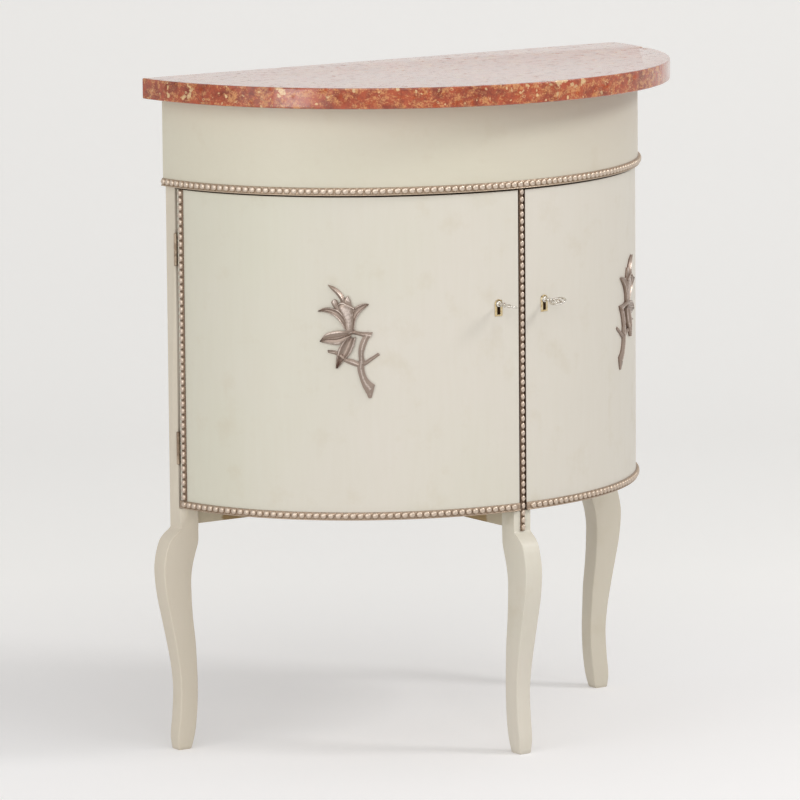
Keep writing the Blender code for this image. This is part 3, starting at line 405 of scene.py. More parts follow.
# %% Sweep
SWEEP_FRONT = 12.0
SWEEP_BEHIND = 2.3
SWEEP_RADIUS = 1.6
SWEEP_HEIGHT = 7.0
SWEEP_HALF_WIDTH = 14.0
# The floor is painted a little darker than the wall and glows less: painted shade that offsets the lamps'
# stronger light near the cabinet.
SWEEP_COLOUR = tint("EDECEA")
FLOOR_COLOUR = tint("E9E8E8")
FLOOR_NEAR = 0.3
FLOOR_FAR = 1.1
FLOOR_GLOW = 0.25
SWEEP_GLOW = 0.31
SWEEP_AHEAD = (math.sin(CAMERA_HEADING), math.cos(CAMERA_HEADING), 0)


def sweep_surface():
    """The floor, a quarter circle and the wall, as one profile drawn out sideways to the camera."""
    turns = np.linspace(0, math.pi / 2, 25)
    wall = SWEEP_BEHIND + SWEEP_RADIUS
    away = np.concatenate([[-SWEEP_FRONT, 0], SWEEP_BEHIND + SWEEP_RADIUS * np.sin(turns), [wall]])
    height = np.concatenate([[0, 0], SWEEP_RADIUS * (1 - np.cos(turns)), [SWEEP_HEIGHT]])
    ahead = np.array(SWEEP_AHEAD)
    aside = np.array([math.cos(CAMERA_HEADING), -math.sin(CAMERA_HEADING), 0])
    line = away[:, None] * ahead + height[:, None] * UP
    points = np.stack([line - SWEEP_HALF_WIDTH * aside, line + SWEEP_HALF_WIDTH * aside], 1)
    index = np.arange(points.shape[0] * 2).reshape(-1, 2)
    faces = np.stack([index[:-1, 0], index[:-1, 1], index[1:, 1], index[1:, 0]], 1)
    return points.reshape(-1, 3), faces.tolist()


points, faces = sweep_surface()
sweep_mesh = bpy.data.meshes.new("studio_sweep")
sweep_mesh.from_pydata(points.tolist(), [], faces)
sweep_mesh.shade_smooth()
sweep = in_scene("studio_sweep", sweep_mesh)

# %% Sweep's paper
def looked_at(look):
    """1 for rays from the camera, or off something shiny or clear, and 0 for rays that carry light on."""
    ray = look.node("LightPath", {}).node.outputs
    seen = look.maths("MAXIMUM", ray["Is Camera Ray"], ray["Is Glossy Ray"])
    return look.maths("MAXIMUM", seen, ray["Is Transmission Ray"])


look = Finish("studio_paper")
away = look.vector("DOT_PRODUCT", look.place, SWEEP_AHEAD, output="Value")
share = look.spread(away, FLOOR_NEAR, FLOOR_FAR)
colour = look.mix(share, FLOOR_COLOUR, SWEEP_COLOUR)
glow = look.maths("MULTIPLY", looked_at(look), look.spread(share, 0, 1, FLOOR_GLOW, SWEEP_GLOW))
paper = look.done({"Base Color": colour, "Emission Color": colour, "Emission Strength": glow,
                   "Roughness": 0.9, "Specular IOR Level": 0.1})
behind = look.node("NewGeometry", {}, "Backfacing")
clear = look.node("BsdfTransparent", {})
one_sided = look.node("MixShader", {0: behind, 1: look.shader.outputs[0], 2: clear})
look.feed(look.tree.nodes["Material Output"].inputs["Surface"], one_sided)
sweep_mesh.materials.append(paper)
print("sweep faces:", len(faces))

# %% Lamps and surroundings
CABINET_MIDDLE = Vector((0, 0, 0.45))
SURROUND_LIGHT = 0.54
SURROUND_COLOUR = tint("E9E8E7")
# Each lamp: its name, heading from the camera's right in degrees, height angle, distance, side and watts.
LAMPS = (("key_softbox", 12, 36, 3.6, 0.8, 33), ("high_softbox", 45, 55, 3.6, 1.5, 13),
         ("front_softbox", 90, 25, 4.5, 2.5, 38), ("left_softbox", 128, 18, 3.6, 2.5, 22),
         ("edge_softbox", 124, 1.5, 3.6, 0.85, 6.5))


def add_lamp(name, heading, climb, distance, size, watts):
    """A square area lamp on a sphere round the cabinet, turned to face its middle."""
    lamp = in_scene(name, bpy.data.lights.new(name, "AREA"))
    lamp.data.shape = "SQUARE"
    lamp.data.size = size
    lamp.data.energy = watts
    turn = -CAMERA_HEADING - math.radians(heading)
    flat = math.cos(math.radians(climb))
    way = Vector((math.cos(turn) * flat, math.sin(turn) * flat, math.sin(math.radians(climb))))
    lamp.location = CABINET_MIDDLE + way * distance
    lamp.rotation_mode = "QUATERNION"
    lamp.rotation_quaternion = (-way).to_track_quat("-Z", "Y")


for lamp in LAMPS:
    add_lamp(*lamp)
surroundings = Look(bpy.data.worlds.new("surroundings"))
bpy.context.scene.world = surroundings.owner
background = surroundings.tree.nodes["Background"]
surroundings.feed(background.inputs["Color"], SURROUND_COLOUR)
# To the camera and in shiny things the surroundings show at full strength, brighter than the light they give:
# a painted reflection.
strength = surroundings.spread(looked_at(surroundings), 0, 1, SURROUND_LIGHT, 1)
surroundings.feed(background.inputs["Strength"], strength)
print("lamps:", [lamp[0] for lamp in LAMPS])

# %% [markdown]
# ## Finish: cream oil paint
#
# The body is painted wood. Oil paint laid on with a brush levels to an eggshell sheen, but keeps
# faint strokes along the grain, a slow drift of colour across the width, and a few darker touches
# where hands and dusters have been. The drift is partly painted shade: on the doors the cream is
# darker and greener on the left, where less light falls, and warmer on the right, and on the frieze
# it darkens towards the right. The strokes are drawn about 6 mm apart, coarser than real bristle
# marks, because finer ones would not show at this distance. The narrow joints are dark: the doors'
# top edges, the two edges that meet beside the middle post and the edges beside the hinges. That is
# partly old wax and dirt and partly painted shade in the gaps, and the inside of each keyhole is
# painted dark as painted shade for the hole behind it.

# %% Cream paint
PAINT_WORN = tint("CFC4AC")
PAINT_ROUGHNESS = 0.42
# Dark brown for the joints: partly wax and dirt, partly painted shade in the gaps and the keyhole.
JOINT_DIRT_AND_SHADE = tint("5E4835")
STROKES_PER_METRE = 160
KEYHOLE_LEAN = 0.0006
door_low, door_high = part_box("right_door")
plate_low, plate_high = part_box("right_escutcheon")
keyhole_middle = (plate_low + plate_high) / 2
keyhole_half = (plate_high - plate_low) / 2 - Vector((0.001, 0.001, 0.001))


def joint_dirt_and_shade(look, joints):
    """1 within the named joints and 0 on the open faces, from steps in X, Y and Z.

    They are the doors' top edges, the edges beside the middle post, the two edges beside a hinge,
    which meet where a door ends, and the inside of the keyhole, a box that its plate covers. Their
    dark colour is partly old wax and dirt and partly painted shade in the narrow gaps, and in the
    keyhole it is painted shade for the hole behind.
    """
    along, back, up = look.parts("SeparateXYZ", look.place)
    aside = look.maths("ABSOLUTE", along)
    ends = {"top": (up, door_high.z - 0.0006, door_high.z - 0.0001),
            "middle": (aside, door_low.x + 0.0006, door_low.x + 0.0001),
            "door's hinge": (back, door_high.y - 0.0014, door_high.y - 0.001),
            "post's hinge": (back, door_high.y + 0.0024, door_high.y + 0.0019)}
    beside_door = look.maths("GREATER_THAN", up, door_low.z)
    dirt_and_shade = 0.0
    for joint in joints:
        if joint == "keyhole":
            beside_key = look.maths("COMPARE", aside, keyhole_middle.x - KEYHOLE_LEAN, keyhole_half.x)
            level = look.maths("COMPARE", up, keyhole_middle.z, keyhole_half.z)
            part = look.maths("MULTIPLY", beside_key, level)
        else:
            part = look.maths("MULTIPLY", look.spread(*ends[joint]), beside_door)
        dirt_and_shade = look.maths("MAXIMUM", part, dirt_and_shade)
    return dirt_and_shade


def cream_paint(name, stroke_way, cool, warm, span, joints=()):
    """Strokes along X, Y or Z on a cream that goes from cool to warm as X and a noise cross the span; the
    darker end is partly painted shade.
    """
    look = Finish(name)
    drift = look.noise(look.place, 4, 3)
    along = look.parts("SeparateXYZ", look.place)[0]
    # This share follows X: the side it makes darker is partly painted shade, the rest a drift of tone.
    cloud = look.spread(look.maths("MULTIPLY_ADD", along, 1.3, drift), *span)
    stretch = along_one(stroke_way, 0.1 * STROKES_PER_METRE, STROKES_PER_METRE)
    stroke = look.noise(look.stretched(look.place, stretch), 1, 2)
    smudge = look.noise(look.place, 23, 6, 0.62)
    colour = look.mix(cloud, tint(cool), tint(warm))
    colour = look.mix(look.spread(smudge, 0.56, 0.86, 0, 0.5), colour, PAINT_WORN)
    colour = look.mix(look.spread(stroke, 0.3, 0.7, 0, 0.07), colour, PAINT_WORN)
    # Joints darkened: partly wax and dirt, partly painted shade in the gaps and the keyhole.
    if joints:
        colour = look.mix(joint_dirt_and_shade(look, joints), colour, JOINT_DIRT_AND_SHADE)
    sheen = look.spread(smudge, 0, 1, PAINT_ROUGHNESS - 0.06, PAINT_ROUGHNESS + 0.1)
    relief = look.maths("ADD", stroke, drift)
    return look.done({"Base Color": colour, "Roughness": sheen}, (relief, 0.25, 0.0004))


# Doors: the cool cream on the left is darker, painted shade in part. Frieze: the warm cream darkens the
# right, painted shade in part.
frieze_paint = cream_paint("cream_oil_paint_frieze", "X", "DCD7C4", "DAD2C3", (0.3, 0.95))
door_paint = cream_paint("cream_oil_paint_doors", "Z", "DBD8C7", "E0DACE", (0.0, 0.42),
                         ("top", "middle", "door's hinge", "keyhole"))
front_paint = cream_paint("cream_oil_paint_front_leg", "Z", "DBD8C6", "E0D9CB", (0.1, 0.5), ("middle",))
rear_paint = cream_paint("cream_oil_paint_rear_legs", "Z", "DDD3C1", "DBD3C2", (0.1, 0.5), ("post's hinge",))

# %% [markdown]
# ## Finish: silvered wood
#
# The beads, carvings and hinges were silvered over a brown ground and rubbed back: metal lies on the
# high parts, and the brown ground shows in the hollows. An attribute called relief, from 0 in the
# hollows to 1 on the tops, is stored with each bead row and carving and drives the change; on the
# hinges a noise drives it. The colours go further than rubbing: the dark ground in the hollows and
# between the beads is partly painted shade, and the pale top on crowns and rims partly painted
# highlight.

# %% Silvered wood
# Each silver: its brown ground, partly painted shade, its body and its polished top, partly painted
# highlight, then the reliefs between which they change.
BEAD_SILVER = ("957D66", "BCA994", "D3C3B2", (0.1, 0.5), (0.6, 1.05))
DOOR_SILVER = ("8B735E", "B19D89", "CDBCAB", (0.1, 0.5), (0.6, 1.05))
STRIP_SILVER = ("6B5341", "A38E7A", "D0BFAF", (0.15, 0.6), (0.6, 1.0))
CARVED_SILVER = ("6B4D40", "9C8B7F", "D6C8BE", (0.15, 0.5), (0.8, 1.05))
HINGE_SILVER = ("5A4333", "917D69", "B8A691", (0.0, 0.3), (0.5, 0.9))


def silvered_wood(name, has_relief, recipe):
    """Ground, body and polished top mixed by relief or a noise; by relief, partly painted shade and
    highlight.
    """
    ground, body, top = [tint(value) for value in recipe[:3]]
    look = Finish(name)
    grain = look.noise(look.place, 420, 4, 0.6)
    patch = look.noise(look.place, 60, 3)
    if has_relief:
        height = look.node("Attribute", {}, "Fac", attribute_name="relief")
    else:
        height = look.spread(patch, 0.2, 0.7)
    uneven = look.maths("ADD", height, look.maths("MULTIPLY_ADD", grain, 0.5, -0.25))
    # By relief, the ground in the hollows is partly painted shade and the top on the crowns partly painted
    # highlight.
    covered_out_of_shade, polish_and_highlight = [look.spread(uneven, *span, interpolation_type="SMOOTHSTEP") for span in recipe[3:]]
    colour = look.mix(polish_and_highlight, look.mix(covered_out_of_shade, ground, body), top)
    return look.done({"Base Color": colour, "Metallic": look.spread(uneven, 0.1, 0.8, 0.25, 0.75),
                      "Roughness": look.spread(patch, 0, 1, 0.3, 0.42)}, (grain, 0.35, 0.0003))


silver = silvered_wood("silvered_beads", True, BEAD_SILVER)
door_silver = silvered_wood("silvered_beads_more_worn", True, DOOR_SILVER)
strip_silver = silvered_wood("silvered_beads_dark_ground", True, STRIP_SILVER)
carved_silver = silvered_wood("silvered_carving", True, CARVED_SILVER)
silver_hinge = silvered_wood("silvered_hinge_metal", False, HINGE_SILVER)

# %% [markdown]
# ## Finish: polished red marble
#
# The slab is a red nodular limestone, sold as red marble: brick-red mud clouded with orange, with cream
# spots and shell fragments, some of them hollow rings, and thin dark seams. It is sawn, ground and
# waxed, so that at a low angle it mirrors the pale room, which a clear coat with a high index does.
# The pattern is drawn in three dimensions, and so it runs over the edge as in real stone.

# %% Red marble
MARBLE_RED = tint("BC5632")
MARBLE_DARK = tint("873A25")
MARBLE_ORANGE = tint("DE9F66")
MARBLE_CREAM = tint("F0D09A")
MARBLE_SEAM = tint("5A241B")
MARBLE_GLOSS = 0.2
WAX_IOR = 1.42
STONE_SHINE = 0.4


def red_marble():
    """Red ground with fine grain, orange clouds and cream spots as thresholds of noise, rings from cells."""
    look = Finish("red_marble")
    push = look.vector("MULTIPLY", look.noise(look.place, 60, 4, output="Color"), (0.012, 0.012, 0.012))
    bent = look.vector("ADD", look.place, push)
    cloud = look.noise(bent, 44, 9, 0.76)
    grain = look.noise(look.place, 520, 3, 0.7)
    field = look.noise(look.stretched(bent, (72, 72, 120)), 1, 8, 0.76)
    patch = look.spread(look.maths("MULTIPLY_ADD", grain, 0.32, field), 0.65, 0.75, 0, 0.85)
    elsewhere = look.vector("ADD", bent, (0.7, 0.3, 0.5))
    spot = look.spread(look.noise(elsewhere, 62, 3), 0.65, 0.675)
    shells = look.node("TexVoronoi", {"Vector": bent, "Scale": 160}, feature="F1").node.outputs
    lot = look.parts("SeparateColor", shells["Color"])
    inside = look.maths("SUBTRACT", look.spread(lot[0], 0.66, 1, 0, 0.38), shells["Distance"])
    filled = look.maths("LESS_THAN", lot[1], 0.75)
    solid = look.maths("MAXIMUM", look.spread(inside, 0.13, 0.09), filled)
    ringed = look.maths("MULTIPLY", look.spread(inside, 0, 0.05), solid)
    cream = look.maths("MULTIPLY", look.maths("MAXIMUM", spot, ringed), 0.85)
    crack = look.node("TexVoronoi", {"Vector": bent, "Scale": 17}, "Distance", feature="DISTANCE_TO_EDGE")
    pitted = look.noise(look.place, 95, 6, 0.7)
    colour = look.mix(look.spread(cloud, 0.4, 0.56), MARBLE_DARK, MARBLE_RED)
    for share, layer in ((patch, MARBLE_ORANGE), (cream, MARBLE_CREAM),
                         (look.spread(crack, 0, 0.02, 0.35, 0), MARBLE_SEAM),
                         (look.spread(grain, 0.36, 0.66, 0.34, 0), MARBLE_DARK)):
        colour = look.mix(share, colour, layer)
    return look.done({"Base Color": colour, "Roughness": look.spread(cloud, 0, 1, 0.1, 0.2),
                      "Coat Weight": look.spread(pitted, 0.52, 0.66, 1, 0.4),
                      "Specular IOR Level": look.spread(pitted, 0.52, 0.66, STONE_SHINE, 0),
                      "Coat IOR": WAX_IOR, "Coat Roughness": MARBLE_GLOSS}, (grain, 0.06, 0.0003))


marble = red_marble()

# %% [markdown]
# ## Finish: bare wood
#
# Inside and underneath, a cabinet maker leaves softwood boards unpainted. Sawn along the trunk, a
# board shows growth rings as long stripes some 4 to 10 mm apart, which are sections through a
# nest of warped cylinders: the distance from a far axis, bent by noise, gives them.

# %% Bare wood
WOOD_PALE = tint("B39A70")
WOOD_DARK = tint("957A50")
WOOD_DIRT = tint("6E5A3E")
RINGS_PER_METRE = 70
GOOD_YEARS = 9.0
FIBRES_PER_METRE = 700


def bare_wood(name, long_way, painted_ends=None):
    """Stripes along X, Y or Z, with paint lapped over the ends if painted_ends gives (axis, from, to)."""
    look = Finish(name)
    board = look.stretched(look.place, along_one(long_way, 0.06, 1), (0.31, 0.17, 0.23))
    wander = look.noise(board, 9, 3).node.outputs
    push = look.vector("MULTIPLY", wander["Color"], (0.05, 0.05, 0.05))
    away = look.vector("LENGTH", look.vector("ADD", board, push), output="Value")
    season = look.maths("MULTIPLY", wander[0], GOOD_YEARS)
    ring = look.maths("FRACT", look.maths("MULTIPLY_ADD", away, RINGS_PER_METRE, season))
    late = look.spread(ring, 0.25, 0.95)
    fibre = look.noise(look.stretched(look.place, along_one(long_way, 8, FIBRES_PER_METRE)), 1, 3)
    colour = look.mix(late, WOOD_PALE, WOOD_DARK)
    colour = look.mix(look.spread(fibre, 0.4, 0.75, 0, 0.5), colour, WOOD_DIRT)
    if painted_ends:
        axis, start, stop = painted_ends
        reach = look.maths("ABSOLUTE", look.parts("SeparateXYZ", look.place)[axis])
        ragged = look.maths("MULTIPLY_ADD", fibre, 0.01, reach)
        colour = look.mix(look.spread(ragged, start, stop), colour, PAINT_WORN)
    height = look.maths("MULTIPLY_ADD", late, 0.3, fibre)
    return look.done({"Base Color": colour, "Roughness": look.spread(fibre, 0, 1, 0.6, 0.8)},
                     (height, 0.2, 0.0003))


level_wood = bare_wood("bare_softwood_level_grain", "X")
deep_wood = bare_wood("bare_softwood_front_to_back_grain", "Y")

# %% [markdown]
# ## Finish: the small metals
#
# Keys are nickelled steel, bright with fine rubbing marks. Keyhole plates are thin stamped brass, dulled to
# honey in patches. Lock cases and screws are iron with a dark, slightly rusty skin, and the
# bolts are plain drawn steel. All are one recipe: two colours mixed by a cloudy noise, and a gloss
# that follows it.

# %% Small metals
SCRATCHES_PER_METRE = 1500


def worn_metal(name, bright, dull, spots_per_metre, gloss, matt):
    """Two colours of one metal mixed by a noise, glossier where bright, with fine scratches as bump."""
    look = Finish(name)
    wear = look.spread(look.noise(look.place, spots_per_metre, 5), 0.35, 0.7)
    scratch = look.noise(look.place, SCRATCHES_PER_METRE, 2)
    return look.done({"Base Color": look.mix(wear, tint(bright), tint(dull)), "Metallic": 1,
                      "Roughness": look.spread(wear, 0, 1, gloss, matt)}, (scratch, 0.1, 0.0001))


nickel = worn_metal("nickelled_steel", "E6E2DA", "B9B4AB", 300, 0.1, 0.28)
brass = worn_metal("stamped_brass", "EBDCB4", "C8AC78", 260, 0.22, 0.42)
iron = worn_metal("dark_iron", "7D766C", "5B4A3C", 180, 0.4, 0.65)
steel = worn_metal("drawn_steel", "C2C0BC", "8F8C86", 240, 0.22, 0.42)

# %% [markdown]
# ## The plan: half ellipses
#
# Slab, frieze and doors all follow half ellipses drawn from the straight back. Their sizes are read
# from the frame, so that each new piece lies exactly where its solid does. A point at angle t stands at
# half width times cos t to the side and depth times sin t forward of the back.

# %% Plan curves
BACK_LINE = frame_high.y
SIDES = {"left": -1, "right": 1}
GAP = 0.0003


def plan_points(half_width, depth, turns):
    """X and Y of the plan ellipse at the given angles."""
    return np.stack([half_width * np.cos(turns), BACK_LINE - depth * np.sin(turns)], 1)


def plan_frames(half_width, depth, turns, height):
    """Places on the ellipse at a height, with the outward way: (cos t / half width, -sin t / depth)."""
    flat = plan_points(half_width, depth, turns)
    places = np.column_stack([flat, np.full(len(turns), height)])
    outward = np.stack([np.cos(turns) / half_width, -np.sin(turns) / depth, np.zeros(len(turns))], 1)
    return places, outward / np.linalg.norm(outward, axis=1, keepdims=True)


def plan_place(half_width, depth, turn, height):
    """One such place and its outward way."""
    places, outward = plan_frames(half_width, depth, np.array([turn]), height)
    return places[0], outward[0]


def even_turns(half_width, depth, start, stop, count):
    """Angles that cut an arc into count equal lengths: the summed length is read backwards."""
    fine = np.linspace(start, stop, 4001)
    steps = np.linalg.norm(np.diff(plan_points(half_width, depth, fine), axis=0), axis=1)
    length = np.concatenate([[0], np.cumsum(steps)])
    return np.interp(np.linspace(0, length[-1], count + 1), length, fine), length[-1]


def plan_sizes(name):
    """A node's half width, and its depth forward of the back line."""
    low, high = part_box(name)
    return high.x, BACK_LINE - low.y


frieze_half_width, frieze_depth = plan_sizes("frieze")
DOOR_SIDE_SETBACK = 0.004
DOOR_FRONT_SETBACK = 0.0018
door_half_width = frieze_half_width - DOOR_SIDE_SETBACK
door_depth = frieze_depth - DOOR_FRONT_SETBACK
print("frieze", round(frieze_half_width, 4), round(frieze_depth, 4), "door", round(door_half_width, 4))

# %% [markdown]
# ## The marble slab
#
# The slab is cut to the D shape and its arrises are eased with a stone. It could be a bevelled prism,
# but its long curved edge catches the light, so the curve is drawn with several hundred points. It
# was sawn by eye: right of the middle it is a little fuller than an ellipse, and left of it a little
# flatter, which is an exponent just under or over 1 on the cosine and the sine. A small chip is broken
# from the rim near the right rear corner: points near its centre are pushed in by a bell-shaped amount.

# %% Slab
SLAB_EASE = 0.0015
SLAB_CORNER = 0.002
CHIP_TURN = math.radians(13.5)
CHIP_REACH = 0.0055
CHIP_DEPTH = 0.0035
CHIP_ROUGHNESS = 0.35
CHIP_WAVES = (2100.0, 1700.0, 1900.0)
FULLER_RIGHT = 0.96
FLATTER_LEFT = 1.018
SLAB_STEPS = 420
SLAB_REAR_POINTS = 60


def slab_outline():
    """The D: the half ellipse from right to left, then back along the straight rear edge."""
    half_width, depth = plan_sizes("marble_top")
    turns = even_turns(half_width, depth, 0, math.pi, SLAB_STEPS)[0]
    power = np.where(turns < math.pi / 2, FULLER_RIGHT, FLATTER_LEFT)
    across = half_width * np.sign(np.cos(turns)) * np.abs(np.cos(turns)) ** power
    arc = np.stack([across, BACK_LINE - depth * np.abs(np.sin(turns)) ** power], 1)
    rear = np.linspace(-half_width, half_width, SLAB_REAR_POINTS)[1:-1]
    outline = np.concatenate([arc, np.column_stack([rear, np.full(len(rear), BACK_LINE)])])
    return softened(outline[::-1], SLAB_CORNER)


def chipped(surface, centre, inward):
    """Push the points near a centre inwards and down by a bell of their distance, roughened by a wave."""
    points, faces = surface
    away = np.linalg.norm(points - centre, axis=1)
    bell = np.exp(-(away / CHIP_REACH) ** 2)
    rough = 1 + CHIP_ROUGHNESS * np.sin(points @ np.array(CHIP_WAVES))
    shift = CHIP_DEPTH * bell * rough
    return points + shift[:, None] * (np.array(inward) + [0, 0, -0.5]), faces


top_low, top_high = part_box("marble_top")
outline = slab_outline()
chip_at, chip_out = plan_place(*plan_sizes("marble_top"), CHIP_TURN, top_high.z)
slab_shape = slab(outline, top_low.z, top_high.z, SLAB_EASE, 4, (0, (top_low.y + top_high.y) / 2))
slab_shape = chipped(slab_shape, chip_at, -chip_out)
top = new_object("marble_slab", slab_shape)
settle(top, marble, "carcass", ["marble_top"])

# %% [markdown]
# ## Frieze
#
# The frieze is the plain curved band under the slab, bent from thin wood glued in layers. From above
# it is the space between two ellipses. An upright section with its arrises just broken, a rounded
# rectangle, is set between each two facing points of the ellipses, and the sections are joined.

# %% Frieze
FRIEZE_THICKNESS = 0.016
FRIEZE_STEPS = 260
ARRIS = 0.0006


def sections(outer, inner, low, high, near, tall):
    """A rectangle between each two facing points, with corners given as distances across and up."""
    across = inner - outer
    thick = np.linalg.norm(across, axis=1, keepdims=True)
    near_inner = np.repeat([0, 1, 1, 0], len(near))
    reach = np.concatenate([near, -near[::-1], -near, near[::-1]]) + near_inner * thick
    height = np.concatenate([low + tall, low + tall[::-1], high - tall, high - tall[::-1]])
    flat = outer[:, None] + reach[..., None] * (across / thick)[:, None]
    return np.concatenate([flat, np.broadcast_to(height[None, :, None], reach.shape + (1,))], 2)


def bent_board(outer, inner, low, high, ease):
    """Sections with quarter round corners joined into a board, and a smaller section at each end.

    A quarter round has one more point before and after it, so that it shades only its own width.
    """
    turns = np.linspace(0, math.pi / 2, 4)
    near = ease * np.concatenate([[0], 1 - np.cos(turns), [EASE_REACH]])
    tall = ease * np.concatenate([[EASE_REACH], 1 - np.sin(turns), [0]])
    full = sections(outer, inner, low, high, near, tall)
    small = sections(outer, inner, low, high, 0.7 * ease + 0.3 * near, 0.7 * ease + 0.3 * tall)
    for end, beside in ((0, 1), (-1, -2)):
        step = full[beside] - full[end]
        full[end] += step * (0.7 * ease / np.linalg.norm(step, axis=1, keepdims=True))
    return shell(np.concatenate([small[:1], full, small[-1:]]))


frieze_turns = even_turns(frieze_half_width, frieze_depth, math.pi, 0, FRIEZE_STEPS)[0]
frieze_low, frieze_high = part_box("frieze")
frieze_shape = bent_board(plan_points(frieze_half_width, frieze_depth, frieze_turns),
                          plan_points(frieze_half_width - FRIEZE_THICKNESS, frieze_depth - FRIEZE_THICKNESS,
                                      frieze_turns), frieze_low.z, frieze_high.z, ARRIS)
frieze = new_object("painted_frieze", frieze_shape)
settle(frieze, frieze_paint, "carcass", ["frieze"])

# %% [markdown]
# ## Bead mouldings
#
# Such a moulding is turned or carved as a row of little balls, then split along its length and glued
# on: half balls on a thin plate with a rounded lip. One bead is half an ellipsoid on a small grid
# of angles, and adding the beads' places to that grid gives the whole row at once.

# %% Rows of beads
BEAD_PITCH = 0.00885
PLATE = 0.0011
PLATE_EDGE = 0.0004
LIP = 0.0024
BEAD_RISE = 0.0031
BEAD_LEVELS = (-10, 25, 55, 80)
BEAD_COLUMNS = 12
BEAD_FULLNESS = 0.65
BEAD_CREASE = math.radians(55)


def beads(places, along, outward, upward, long_radius, wide_radius):
    """Full half balls: w cos u along, w sin u up, sin v outward, where w is cos v to a power under 1."""
    v = np.radians(BEAD_LEVELS)
    u = np.linspace(0, math.tau, BEAD_COLUMNS, endpoint=False)
    wide = np.cos(v)[:, None] ** BEAD_FULLNESS
    flat = (wide * np.cos(u)).ravel()
    tall = (wide * np.sin(u)).ravel()
    out = np.repeat(np.sin(v), len(u))
    grid = places[:, None] + long_radius * flat[None, :, None] * along[:, None]
    grid = grid + wide_radius * tall[None, :, None] * upward[:, None]
    grid = grid + (PLATE + BEAD_RISE * out)[None, :, None] * outward[:, None]
    faces = shell(np.zeros((len(v), len(u), 3)))[1]
    return together([(row, faces) for row in grid])


def plate_profile(width, lipped):
    """The plate's section as (across, outward) pairs, with a rounded lip along its low edge."""
    if lipped:
        start = [(0, 0), (0, PLATE), (0.0003, LIP - 0.0003), (0.0009, LIP), (0.0015, LIP - 0.0003),
                 (0.0019, PLATE)]
    else:
        start = [(0, 0), (0, PLATE - PLATE_EDGE), (PLATE_EDGE, PLATE)]
    return np.array(start + [(width - PLATE_EDGE, PLATE), (width, PLATE - PLATE_EDGE), (width, 0)])


def over_plan(points, half_width, depth):
    """How far points lie outside a plan ellipse: (F - 1) over F's slope, F = |(x, y) over its sizes|."""
    flat = np.stack([points[:, 0] / half_width, (BACK_LINE - points[:, 1]) / depth], 1)
    size = np.linalg.norm(flat, axis=1)
    slope = np.linalg.norm(flat / [half_width, depth], axis=1) / size
    return (size - 1) / slope


def mesh_points(piece):
    """A piece's points as an array."""
    flat = np.zeros(len(piece.data.vertices) * 3)
    piece.data.vertices.foreach_get("co", flat)
    return flat.reshape(-1, 3)


def surface_of(piece):
    """A piece's points and faces, as the shells above are given."""
    return mesh_points(piece), [list(face.vertices) for face in piece.data.polygons]


def store_relief(piece, height, peak):
    """Keep how high each point stands, as a share of the peak, where the silver can read it."""
    share = np.clip(height / peak, 0, 1).astype(np.float32)
    piece.data.attributes.new("relief", "FLOAT", "POINT").data.foreach_set("value", share)


# %% Curved rows on the frieze and the doors
RING_HEIGHT = 0.0096
RING_ROW = 0.0056
RING_STOP = 0.005
RING_BEAD = (0.0044, 0.0040)
PEAK = PLATE + BEAD_RISE


def curved_row(half_width, depth, start, stop, bottom, end_gap):
    """A plate carried along an arc, with beads at the middles of equal lengths between the end gaps."""
    rate = np.hypot(half_width * np.sin([start, stop]), depth * np.cos([start, stop]))
    first, last = start + end_gap / rate[0], stop - end_gap / rate[1]
    count = round(even_turns(half_width, depth, first, last, 1)[1] / BEAD_PITCH)
    middles = even_turns(half_width, depth, first, last, 2 * count)[0][1::2]
    turns = even_turns(half_width, depth, start, stop, 2 * count)[0]
    seats, out = plan_frames(half_width, depth, turns, bottom)
    up = np.tile(UP, (len(seats), 1))
    plate = carried(plate_profile(RING_HEIGHT, True), seats, up, out)
    seats, out = plan_frames(half_width, depth, middles, bottom + RING_ROW)
    up = np.tile(UP, (len(middles), 1))
    return together([plate, beads(seats, np.cross(up, out), out, up, *RING_BEAD)]), count


ring_shape, count = curved_row(frieze_half_width + GAP, frieze_depth + GAP, 0, math.pi, frieze_low.z, 0)
ring = new_object("upper_bead_row", ring_shape)
store_relief(ring, over_plan(mesh_points(ring), frieze_half_width, frieze_depth), PEAK)
settle(ring, silver, "carcass", ["upper_bead_moulding"], BEAD_CREASE)
print("beads on the frieze:", count)

# %% Doors: where they begin and end
HINGE_EDGE = 0.0226
MEETING_EDGE = 0.005
DOOR_THICKNESS = 0.016
door_low, door_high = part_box("right_door")


def door_turns(half_width, depth):
    """The angles of the hinge edge and the meeting edge on one of the door's ellipses."""
    return math.asin(HINGE_EDGE / depth), math.acos(MEETING_EDGE / half_width)


row_sizes = (door_half_width + GAP, door_depth + GAP)
row_shape, count = curved_row(*row_sizes, *door_turns(*row_sizes), door_low.z, RING_STOP)
for name, side in SIDES.items():
    row = new_object(name + "_door_bottom_bead_row", mirrored(row_shape, side))
    store_relief(row, over_plan(mesh_points(row), door_half_width, door_depth), PEAK)
    settle(row, door_silver, name + "_door_leaf", [name + "_door_bottom_beads"], BEAD_CREASE)
print("beads on each door's lower edge:", count)

# %% Straight rows beside the hinges and on the middle post
SIDE_ROW_OFFSET = 0.009
SIDE_ROW_WIDTH = 0.0078
CENTRE_ROW_WIDTH = 0.0062
SIDE_BEAD = (0.0044, 0.0039)
CENTRE_BEAD = (0.0044, 0.0031)


